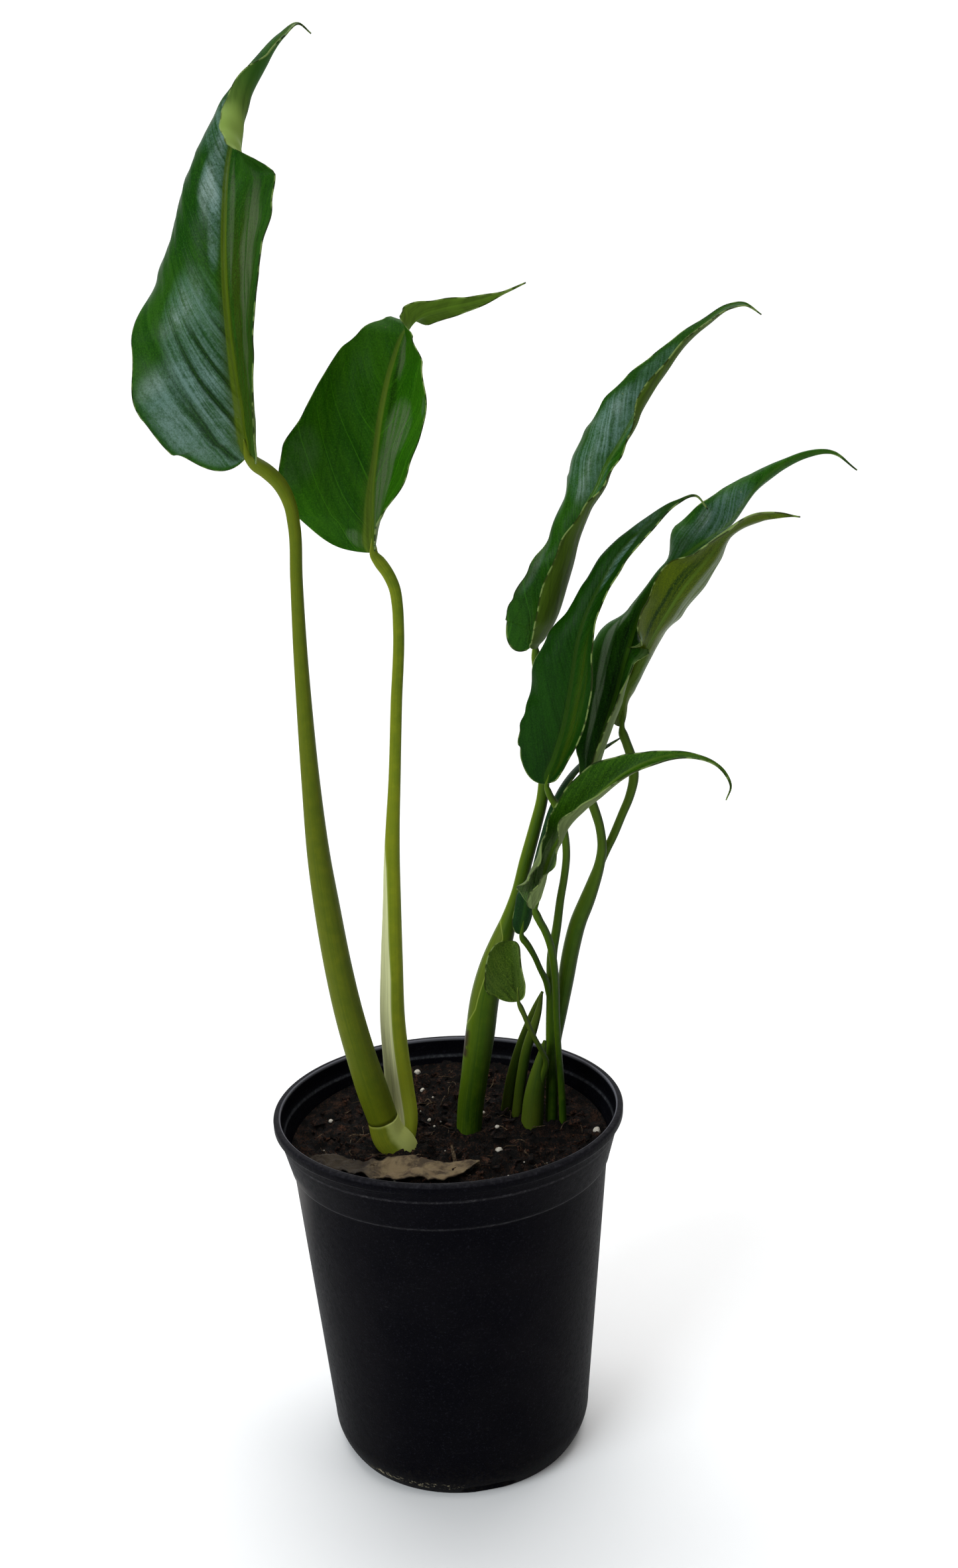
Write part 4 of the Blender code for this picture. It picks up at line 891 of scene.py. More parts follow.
LEAVES = {
    "tall_left": Leaf(
        width=42, widest=0.20, blunt=2.4, taper=1.7, lobe=3.6,
        midrib=[(-69.2, -20.4, 474.6), (-70.6, -22.5, 482), (-71.2, -25, 494), (-72.5, -29, 520),
                (-72.5, -31, 546), (-71, -29, 571), (-69, -26, 588), (-64.2, -20, 607), (-54, -10, 628),
                (-46, -3, 640), (-39.5, 2, 645.3), (-35, 6, 642)],
        rolls=[(0.00, 185, 175, -70, -85), (0.11, 185, 175, -58, -92), (0.24, 185, 150, -50, -80),
               (0.38, 185, 105, -42, -68), (0.49, 190, 85, -34, -58), (0.56, 190, 85, -28, -55),
               (0.61, 190, 85, -30, -150), (0.65, 190, 90, -25, -190), (0.70, 190, 100, -25, -215),
               (0.75, 190, 115, -45, -190), (0.84, 190, 135, -60, -120), (1.00, 180, 150, -60, -80)],
        shares=[(0, 1.12, 1), (0.12, 1.07, 0.78), (0.20, 1.04, 0.64), (0.33, 1.07, 0.67), (0.42, 1.09, 0.8),
                (0.50, 1.12, 0.98), (0.57, 1.12, 1.08), (0.63, 1.05, 1), (0.70, 0.88, 1.1), (0.80, 0.8, 1.3),
                (1, 1, 1.3)]),
    "second_left": Leaf(
        width=41, widest=0.25, blunt=2.1, taper=2.2, lobe=-3.5,
        midrib=[(-21, 5, 429.6), (-21.5, 3, 446), (-17.5, 0, 474), (-13, 0, 496), (-8, 2, 512),
                (-3.6, 5, 522), (2, 8, 528.5), (12, 11, 531.5), (26, 15, 534), (40, 20, 538), (50, 24, 542)],
        rolls=[(0.00, 180, 180, -60, -100), (0.10, 185, 178, -60, -105), (0.27, 185, 168, -55, -78),
               (0.42, 185, 150, -35, -80), (0.52, 185, 150, -45, -80), (0.58, 183, 158, -60, -95),
               (0.63, 172, 150, -115, -140), (0.66, 120, 100, -150, -170), (0.71, 25, 15, -160, -185),
               (0.83, 20, 10, -170, -185), (1.00, 10, 0, -180, -180)],
        shares=[(0, 0.95, 0.35), (0.07, 1.04, 0.5), (0.14, 1.05, 0.82), (0.25, 0.99, 0.89), (0.35, 0.88, 1),
                (0.45, 0.88, 1.05), (0.52, 0.89, 0.98), (0.58, 0.79, 0.8), (0.63, 0.62, 0.6),
                (0.66, 0.5, 0.5), (0.71, 0.42, 0.42), (0.80, 0.6, 0.6), (0.90, 1, 1), (1, 1, 1)]),
    "tall_middle": Leaf(
        width=24, widest=0.25, blunt=3.5, taper=1.3, lobe=7.0,
        midrib=[(49, 20, 383), (52.2, 18, 388), (56.8, 15, 396), (60.8, 12, 407), (64.8, 10, 421),
                (68.8, 9, 436), (72.8, 9, 446), (77.6, 10, 454), (82.4, 12, 464), (88, 14, 472),
                (93, 16, 480), (101, 19, 493), (110, 23, 504), (119, 27, 515), (128, 30, 522), (139, 34, 529),
                (147, 37, 530), (155, 40, 525)],
        rolls=[(0.00, 180, 180, -100, -130), (0.08, 182, 178, -90, -150), (0.16, 185, 172, -90, -155),
               (0.26, 190, 110, -85, -145), (0.34, 190, 80, -80, -125), (0.41, 190, 85, -60, -115),
               (0.47, 190, 85, -50, -95), (0.52, 190, 95, -60, -120), (0.60, 185, 130, -70, -155),
               (0.70, 185, 150, -80, -140), (0.80, 185, 140, -80, -120), (1.00, 180, 150, -60, -90)],
        shares=[(0, 1.15, 0.75), (0.04, 1.03, 0.78), (0.10, 0.9, 0.95), (0.18, 0.73, 1.02), (0.26, 0.58, 1),
                (0.34, 0.66, 0.88), (0.40, 0.88, 0.58), (0.45, 1, 0.4), (0.50, 1.08, 0.4), (0.57, 0.98, 0.75),
                (0.64, 0.8, 0.9), (0.71, 0.66, 0.8), (0.78, 0.48, 1.1), (0.88, 0.35, 1.4), (1, 0.6, 1.4)]),
    "front": Leaf(
        width=22, widest=0.30, blunt=1.5, taper=2.2, lobe=1.0,
        midrib=[(51, -4, 324), (55, -7, 338), (59, -9, 351), (62, -11, 366), (64, -12, 378), (66, -12, 389),
                (70, -11, 401), (77, -8, 414), (86, -5, 427), (98, 0, 438), (112, 5, 447), (121, 8, 449),
                (126, 9, 443)],
        rolls=[(0.00, 180, 180, -50, -80), (0.09, 185, 150, -55, -90), (0.17, 185, 140, -50, -90),
               (0.25, 190, 110, -50, -88), (0.34, 185, 125, -48, -88), (0.41, 190, 105, -50, -90),
               (0.49, 190, 75, -50, -95), (0.58, 190, 50, -50, -90), (0.68, 190, 60, -50, -95),
               (0.80, 190, 60, -50, -80), (1.00, 180, 120, -40, -60)],
        shares=[(0, 1.9, 1.1), (0.04, 1.75, 1.1), (0.08, 1.5, 1), (0.13, 1.28, 0.95), (0.19, 1.05, 0.93),
                (0.30, 0.93, 0.86), (0.41, 0.82, 0.72), (0.50, 0.7, 0.58), (0.57, 0.88, 0.55),
                (0.65, 1.05, 0.85), (0.73, 1.1, 1.15), (0.82, 1.25, 1.4), (1, 1, 1.4)]),
    "long_right": Leaf(
        width=21, widest=0.45, blunt=3.0, taper=1.5,
        midrib=[(70, 8, 318), (74, 6, 332), (79, 5, 348), (84, 5, 363), (88, 6, 377), (93, 9, 391),
                (102, 14, 408.5), (119, 18, 423.5), (137, 20, 435.4), (149, 22, 450.2), (160, 25, 458.6),
                (174, 28, 463.9), (185, 31, 464), (197, 33, 455.5)],
        rolls=[(0.00, 170, 150, -80, -120), (0.07, 180, 160, -75, -140), (0.15, 185, 115, -75, -130),
               (0.22, 190, 110, -70, -125), (0.28, 190, 110, -60, -100), (0.35, 175, 90, 60, 80),
               (0.42, 150, 60, 60, 75), (0.50, 145, 55, 50, 70), (0.57, 175, 100, 50, 70),
               (0.65, 185, 150, 60, 100), (0.74, 190, 100, 60, 95), (0.80, 190, 65, 50, 70),
               (0.90, 190, 60, 40, 60), (1.00, 180, 120, 20, 40)],
        shares=[(0, 0.4, 1), (0.10, 0.7, 1), (0.20, 0.8, 1), (0.27, 0.9, 0.5), (0.33, 0.95, 0.3),
                (0.39, 0.5, 0.35), (0.45, 0.25, 0.4), (0.50, 0.35, 0.4), (0.57, 0.88, 0.4),
                (0.70, 0.95, 0.42), (0.77, 0.65, 0.45), (0.84, 0.35, 0.5), (0.92, 0.5, 0.5), (1, 1, 0.5)]),
    "right_open": Leaf(
        width=15, widest=0.40, blunt=2.5, taper=1.4,
        midrib=[(87, 14, 345), (88, 13, 359), (94, 12, 372), (100, 9, 385), (107, 5, 398), (115, 1, 411),
                (124, -2, 422), (132, -5, 432.5), (139, -7, 437.6), (147, -9, 440.5), (155, -10, 440.8),
                (163, -10, 439.6)],
        rolls=[(0.00, 150, 120, 10, 40), (0.10, 150, 105, 50, 90), (0.21, 150, 75, 60, 90),
               (0.32, 200, 290, 60, 80), (0.44, 190, 240, 40, 65), (0.56, 180, 200, 30, 55),
               (0.66, 190, 260, 30, 70), (0.77, 200, 300, 60, 90), (0.88, 190, 260, 50, 80),
               (1.00, 180, 200, 20, 40)],
        shares=[(0, 1, 0.3), (0.07, 0.95, 0.35), (0.13, 0.95, 0.95), (0.18, 0.9, 1.1), (0.26, 0.50, 1.3),
                (0.31, 0.60, 1.25), (0.38, 1, 1.0), (0.44, 1, 0.85), (0.70, 1, 0.88), (0.80, 1, 1.3),
                (1, 1, 1.3)]),
    "curled": Leaf(
        width=12.5, widest=0.40, blunt=3.0, taper=2.5,
        midrib=[(43.8, -10, 268), (46, -11, 275), (48, -12, 282), (49.5, -12, 289), (52.4, -12, 296),
                (56, -12, 302), (60, -12, 308), (66.8, -13, 315.5), (73.6, -14, 321.6), (84.4, -16, 330.8),
                (94.5, -18, 336.4), (104.6, -19, 339.2), (113, -20, 339.5), (122.5, -20, 336.3),
                (128.6, -19, 330.8), (131.6, -18, 323.7), (129.6, -17, 317.5)],
        rolls=[(0.00, 150, 150, -150, -180), (0.05, 160, 220, -130, -190), (0.11, 170, 290, -90, -150),
               (0.17, 170, 320, -50, -90), (0.24, 180, 270, -80, -130), (0.31, 180, 200, -110, -170),
               (0.38, 180, 180, -100, -150), (0.46, 180, 170, -90, -135), (0.56, 180, 165, -90, -120),
               (0.68, 180, 150, -80, -100), (1.00, 180, 150, -60, -80)],
        shares=[(0, 1.5, 1), (0.08, 1.4, 0.75), (0.18, 1.05, 0.6), (0.30, 0.82, 0.8), (0.41, 1, 0.8),
                (0.49, 1.08, 0.8), (0.57, 0.86, 0.8), (0.64, 0.66, 0.8), (0.72, 0.5, 0.8), (0.80, 0.45, 1),
                (0.92, 1, 1), (1, 1, 1)]),
    "spoon": Leaf(
        width=12.5, widest=0.50, blunt=2.0, taper=0.5,
        midrib=[(34.8, -14.4, 225), (34.6, -15, 232), (34.2, -15.5, 239), (33.6, -15, 245.5),
                (33, -13, 250.5), (33, -11, 254)],
        rolls=[(0.00, 180, 190, 0, -40), (0.25, 182, 215, -10, -80), (0.60, 185, 235, -20, -110),
               (1.00, 190, 240, -10, -60)],
        shares=[(0, 1.4, 0.45), (0.4, 1.35, 0.45), (1, 1.35, 0.5)]),
    "quill": Leaf(
        width=7.0, widest=0.30, blunt=2.8, taper=0.8,
        midrib=[(37.5, -2, 253), (39.3, -2.2, 264.5), (43, -0.2, 281), (47.8, 4, 297), (53, 8, 311),
                (59, 12, 320.5), (67, 17, 328), (76, 20, 333.5), (84, 21, 337.7), (88, 21.5, 339.5)],
        rolls=[(0.00, 165, 150, 20, 60), (0.14, 150, 110, 20, 90), (0.30, 140, -20, -140, 0),
               (0.50, 140, -60, -140, -10), (1.00, 150, 60, -150, -60)]),
}
print(len(LEAVES), "leaves")

# %% [markdown]
# ### The section of a blade
#
# Cut across, a half blade is a strip that leaves the midrib in one direction and turns evenly to another at
# its margin. The midrib itself is a round rib on the underside with a shallow groove above it, and near it
# both halves bend into one round trough instead of a sharp fold. Adding up small steps along the strip
# gives its points, and the strip's own direction turned by a quarter gives the side that is the underside.

# %% A blade's section
SHARPEST = 0.35
BASE_NARROWEST = 0.9
HALF_THICK = 0.34
TROUGH = 2.2
BLADE_CLEARANCE = 1.0
STRIP_STEPS = 60


def half_width(leaf, place):
    """The flat half blade's reach: blunt at the base, drawn out to the tip."""
    if place < leaf.widest:
        share = (1 - (1 - place / leaf.widest) ** leaf.blunt) ** (1 / leaf.blunt)
    else:
        past = (place - leaf.widest) / (1 - leaf.widest)
        share = (1 - past) ** leaf.taper * (1 + leaf.taper * past)
    return leaf.width * share


def nearest_turn(angle, near):
    """The same direction, written within half a turn of another."""
    return near + (angle - near + math.pi) % (2 * math.pi) - math.pi


def strip(root, margin, flat, reaches, wide):
    """A half blade's points across and away, and its direction at each, for reaches from 0 to 1."""
    flat = nearest_turn(flat, root)
    fine = np.linspace(0, 1, STRIP_STEPS + 1)
    bend = 0.85 * np.exp(-(fine * wide / TROUGH) ** 1.5)
    turns = root + (margin - root) * fine + (flat - root) * bend
    middle = (turns[1:] + turns[:-1]) / 2
    across = np.concatenate([[0], np.cumsum(np.cos(middle))]) * wide / STRIP_STEPS
    away = np.concatenate([[0], np.cumsum(np.sin(middle))]) * wide / STRIP_STEPS
    return [np.interp(reaches, fine, values) for values in (across, away, turns)]


# %% [markdown]
# ### Veins
#
# The side veins leave the midrib at a low angle and arch up to run along the margin. Counting them gives a
# number that is whole on each vein: its distance along the midrib, less what the slant and the arch add on
# the way out. Below the first vein the lines fan out from the base. The number is stored at the points, so
# a finish can draw veins that follow the leaf however it is rolled.

# %% Vein numbers
def vein_number(along, lateral, spacing, slant, arch):
    """Whole on each side vein. along and lateral are in millimetres."""
    start = along - slant * lateral - arch * lateral * lateral
    if start > 0:
        return start / spacing
    return 2.4 * start / (lateral * (slant + arch * lateral) + spacing)


def spread(columns):
    """Reaches from 0 to 1, closer together at the midrib and at the margin."""
    even = np.linspace(0, 1, columns + 1)
    return 0.45 * even + 0.55 * (1 - np.cos(np.pi * even)) / 2


# %% [markdown]
# ### The blade
#
# The grid is rolled round the whole section: over the top from the left margin to the right, and back along
# the underside. Between veins the real blade swells a little, and its margin waves, so both move the strip
# along its own normal, top and underside together. Near the base the left half can reach back past the
# petiole as a lobe.

# %% The blade builder
LOBE_FACTOR = 27 / 4  # the inverse of the greatest value that x * (1 - x) ** 2 has
TIP_LENGTH = 0.1


def bell(distance, reach):
    """1 in the middle of a stretch, and less and less away from it."""
    return math.exp(-(distance / reach) ** 2)


def blade(name, half_columns, rows, spacing, slant, arch, swell, wave, rib, fuller=(1, 0.0, 1.0, 0.0)):
    """A blade as one closed sheet. fuller: the side, place, half length and share of a fuller stretch."""
    leaf, petiole = LEAVES[name], PETIOLES[name]
    whole = [knot[:3] for knot in petiole] + list(leaf.midrib)
    steps = np.linalg.norm(np.diff(np.array(whole, float), axis=0), axis=1)
    start = (steps[:len(petiole)].sum() + BLADE_CLEARANCE) / steps.sum()
    length = (1 - start) * steps.sum()
    even = np.linspace(0, 1, rows + 1)
    places = 0.6 * (1 - np.cos(np.pi / 2 * even)) + 0.4 * (1 - np.cos(np.pi * even)) / 2
    along = smooth_path([(*knot, 0.0) for knot in whole], start + (1 - start) * places)[:, :3]
    frames = [frame_at(tangent) for tangent in np.gradient(along, places, axis=0)]
    turns = np.radians(blend_stations(leaf.rolls, places))
    shares = blend_stations(leaf.shares, places)
    reaches = spread(half_columns)
    loop = list(-reaches[::-1]) + list(reaches[1:]) + list(reaches[-2::-1]) + list(-reaches[1:])
    fuller_side, fuller_place, fuller_reach, fuller_share = fuller
    sections = []
    for row, place in enumerate(places):
        tangent, away, right = frames[row]
        left_root, left_margin, right_root, right_margin = turns[row]
        under_x = math.sin(left_root) - math.sin(right_root)
        under_y = math.cos(right_root) - math.cos(left_root)
        under = Vector((under_x, under_y, 0)).normalized()
        flat_right = math.atan2(-under.x, under.y)
        thin = max(0.0, (place - (1 - TIP_LENGTH)) / TIP_LENGTH)
        narrowest = BASE_NARROWEST * (1 - thin) + SHARPEST * thin
        opened = half_width(leaf, place) / leaf.width if place < leaf.widest else 1.0
        fade = min(1.0, place / 0.03) * min(1.0, (1 - place) / 0.06)
        rib_size = (rib * (1 - place) ** 0.8 + 0.15) * fade
        halves = {}
        for side, root, margin, flat, share in (
                (1, right_root, right_margin, flat_right, shares[row][1]),
                (-1, left_root, left_margin, flat_right + math.pi, shares[row][0])):
            wide = half_width(leaf, place) * share
            if side == fuller_side:
                wide *= 1 + fuller_share * bell(place - fuller_place, fuller_reach)
            wide = max(narrowest, wide)
            halves[side] = (wide, *strip(root, margin, flat, reaches, wide))
        points = []
        for column, signed in enumerate(loop):
            top = column <= 2 * half_columns
            side = 1 if signed > 0 or (signed == 0 and top) else -1
            reach = abs(signed)
            wide, across, back, turn = halves[side]
            index = int(np.argmin(np.abs(reaches - reach)))
            lateral = reach * wide
            normal = np.array([-math.sin(turn[index]), math.cos(turn[index])]) * side
            number = vein_number(place * length, lateral, spacing, slant, arch)
            middle_fade = min(1.0, lateral / 6.0) * (1 - reach ** 6)
            shift = swell * math.cos(2 * math.pi * number) * middle_fade * fade * min(1.0, wide / 18)
            shift += wave * fade * reach ** 3 * math.sin(19 * place + 2.0 * side + 0.7) * min(1.0, wide / 25)
            half_thick = HALF_THICK * min(1.0, (1 - reach) * wide / 0.4) ** 0.5
            if top:
                shift += 0.35 * rib_size * bell(lateral, 0.5 + 0.6 * rib_size) - half_thick
            else:
                shift += rib_size * bell(lateral, 0.7 + 0.8 * rib_size) + half_thick
            x, y = np.array([across[index], back[index]]) + normal * shift
            droop = leaf.lobe * reach ** 2 * LOBE_FACTOR * opened * (1 - opened) ** 2 if side < 0 else 0.0
            point = Vector(along[row]) + right * x + away * y - tangent * droop
            face = 0.5 if reach == 1 else float(not top)
            vein = (number, lateral * side, place * length)
            points.append((point, vein, (signed, place, face), (rib_size, wide, 0.0)))
        sections.append(points)
    return rolled_grid(len(loop) - 1, rows, lambda column, row: sections[row][column],
                       ("vein", "leaf", "rib"))


# %% [markdown]
# ### Leaf skin
#
# The upper side is dark and waxy, with soft highlights broken into streaks that run with the veins. Most of
# a highlight is a coat and a painted sheen, a pale satin colour, inside soft ovals, given in the leaf's own
# measures: across from -1 at the left margin to 1 at the right, and along from 0 at the base to 1 at the tip.
# Tints in such ovals are olive, brown or pale; the pale satin ones paint a sheen, and one dark one paints the
# shade inside a fold. The underside is paler and duller. The midrib is yellow-green, the side veins are thin
# pale lines, with painted shade in a furrow on the lower left half, and the very margin is a pale line with a
# few dry white nicks. The lines and streaks hang on the stored vein number, so they are noise that is
# stretched along the veins.

# %% The leaf finish
def patch(made, across, up, centre_across, centre_up, half_across, half_up):
    """1 inside a soft oval on the leaf and 0 outside it."""
    right = (across - centre_across) / half_across
    high = (up - centre_up) / half_up
    return made.fall(right * right + high * high, 0.2, 1.2)


def leaf_finish(name, deep, fresh, under, seed, midrib, gloss, furrows, pale_veins, flare,
                painted_sheen=(0.105, 0.195, 0.160), shine=(), tints=(), back_tints=()):
    """shine: ovals of coat and painted sheen, each (across, place, half across, half place, amount). A tint
    has its colour after these.
    """
    made = Finish(name, Specular_IOR_Level=0.06, Coat_Roughness=0.30)
    number, lateral, along = made.parts(made.stored("vein"))
    signed, place, below = made.parts(made.stored("leaf"))
    rib, wide, _ = made.parts(made.stored("rib"))
    spot = made.place()
    out = abs(lateral)
    reach = abs(signed)
    below = made.ramp(below, 0.3, 0.7)

    streak = made.cloud(made.vector(number * 2.2 + seed, out * 0.018, below * 9.0), 1.6, 5.0, 0.62)
    stripe = made.cloud(made.vector(lateral * 0.55 + seed, along * 0.012, below * 9.0), 1.0, 4.0, 0.6)
    wander = made.cloud(made.vector(number * 0.9 + seed, out * 0.03, 0.0), 1.0, 1.0)
    grain = made.cloud(spot, 0.9, 3.0, 0.6)
    broad = made.cloud(spot, 0.028, 3.0, 0.5)
    speckle = made.cloud(spot, 1.7, 3.0, 0.7)
    crumpled = made.cloud(spot, 0.22, 4.0, 0.6)

    inner = made.fall(reach, 0.35, 0.80)
    vein_gap = (number + wander * 1.1).wave() * 18.0
    vein_line = made.fall(vein_gap, 0.10, 0.55) * (1 - made.ramp(place, 0.24, 0.55) * 0.85)
    low_down = made.fall(place + broad * 0.12, 0.30, 0.42)
    furrow = made.fall(vein_gap, 0.8, 3.8) * made.ramp(signed, 0.12, -0.02) * low_down
    fine_line = made.fall((number * 5.0 + wander).wave(), 0.02, 0.22)
    rib_half = 0.30 + rib * 0.75 + made.fall(place, -0.05, 0.30) * flare
    midrib_mask = made.fall(out / rib_half, 0.75, 1.25) * (1 - made.ramp(place, 0.42, 0.75) * 0.6)
    midrib_glow = made.fall(out / rib_half, 0.9, 2.6) * (1 - place)
    margin_gap = (1 - reach) * wide
    margin = made.fall(margin_gap, 0.25, 0.90)
    edge_dark = made.ramp(made.cloud(spot, 0.20, 3.0), 0.44, 0.56)
    nicks = made.ramp(made.cloud(spot, 0.9, 3.0, 0.6), 0.70, 0.75) * made.fall(margin_gap, 0.4, 1.8)
    blemish = made.ramp(made.cloud(spot, 0.42, 2.0, 0.4), 0.765, 0.80)

    veil = 0.20 + made.ramp(stripe, 0.38, 0.58) * 0.80
    tinted = [(patch(made, signed, place, *oval) * veil * amount, tint) for *oval, amount, tint in tints]
    back_tinted = [(patch(made, signed, place, *oval) * amount, tint) for *oval, amount, tint in back_tints]
    shining = sum(patch(made, signed, place, *oval) * amount for *oval, amount in shine)
    shining = shining * made.ramp(margin_gap, 0.8, 3.6) * (1 - furrow * inner * 0.95 * furrows)
    broken = streak * 0.6 + grain * 0.2 + crumpled * 0.2
    shining = shining * (0.12 + made.ramp(broken, 0.38, 0.60) * 0.88) * (1 - below)
    shining = shining * (1 - fine_line * inner * 0.35) * (0.70 + made.ramp(speckle, 0.36, 0.60) * 0.45)

    upper = made.coats(
        deep,
        (made.ramp(streak * 0.65 + broad * 0.5, 0.42, 0.74), fresh),
        *tinted,
        (made.ramp(stripe, 0.50, 0.68) * 0.35, toned(deep, 0.4)),
        # painted shade in the furrows on the lower left half
        (furrow * inner * furrows * 0.90, toned(deep, 0.3)),
        (made.ramp(speckle, 0.50, 0.66) * 0.40, toned(fresh, 1.7)),
        (made.fall(speckle, 0.34, 0.48) * 0.45, toned(deep, 0.4)),
        (vein_line * pale_veins, toned(fresh, 2.4)),
        # painted sheen, a pale satin colour where the coat shines
        (shining * 0.9, painted_sheen),
        (midrib_glow * 0.30, toned(midrib, 0.6)),
        (midrib_mask, made.mix(made.ramp(stripe, 0.40, 0.62), toned(midrib, 0.70), midrib)),
    )
    back = made.coats(
        toned(under, 0.55),
        (made.ramp(stripe * 0.6 + streak * 0.5, 0.40, 0.68), under),
        (vein_line * 0.4, toned(under, 0.5)),
        *back_tinted,
        (midrib_mask, toned(under, 1.2)),
    )
    skin = made.coats(
        upper,
        (below, back),
        (margin * (1 - edge_dark) * 0.85, (0.18, 0.25, 0.07)),
        (margin * edge_dark * 0.7, (0.012, 0.016, 0.003)),
        (nicks * 0.8, (0.42, 0.45, 0.30)),
        (blemish * 0.35, (0.20, 0.24, 0.10)),
    )
    relief = furrow * inner * (0.5 - below) * (-2.2 * furrows) + fine_line * inner * -0.12 + streak * 0.4
    relief = relief + made.cloud(spot, 0.35, 3.0, 0.5) * 0.4 + grain * 0.10 + midrib_mask * 0.2
    return made.wear(
        Base_Color=skin,
        Roughness=gloss + made.ramp(streak, 0.35, 0.7) * 0.16 + below * 0.2 + midrib_mask * 0.1,
        Coat_Weight=shining * 0.6,
        Normal=made.bumps(relief, 0.40, 0.8),
    )
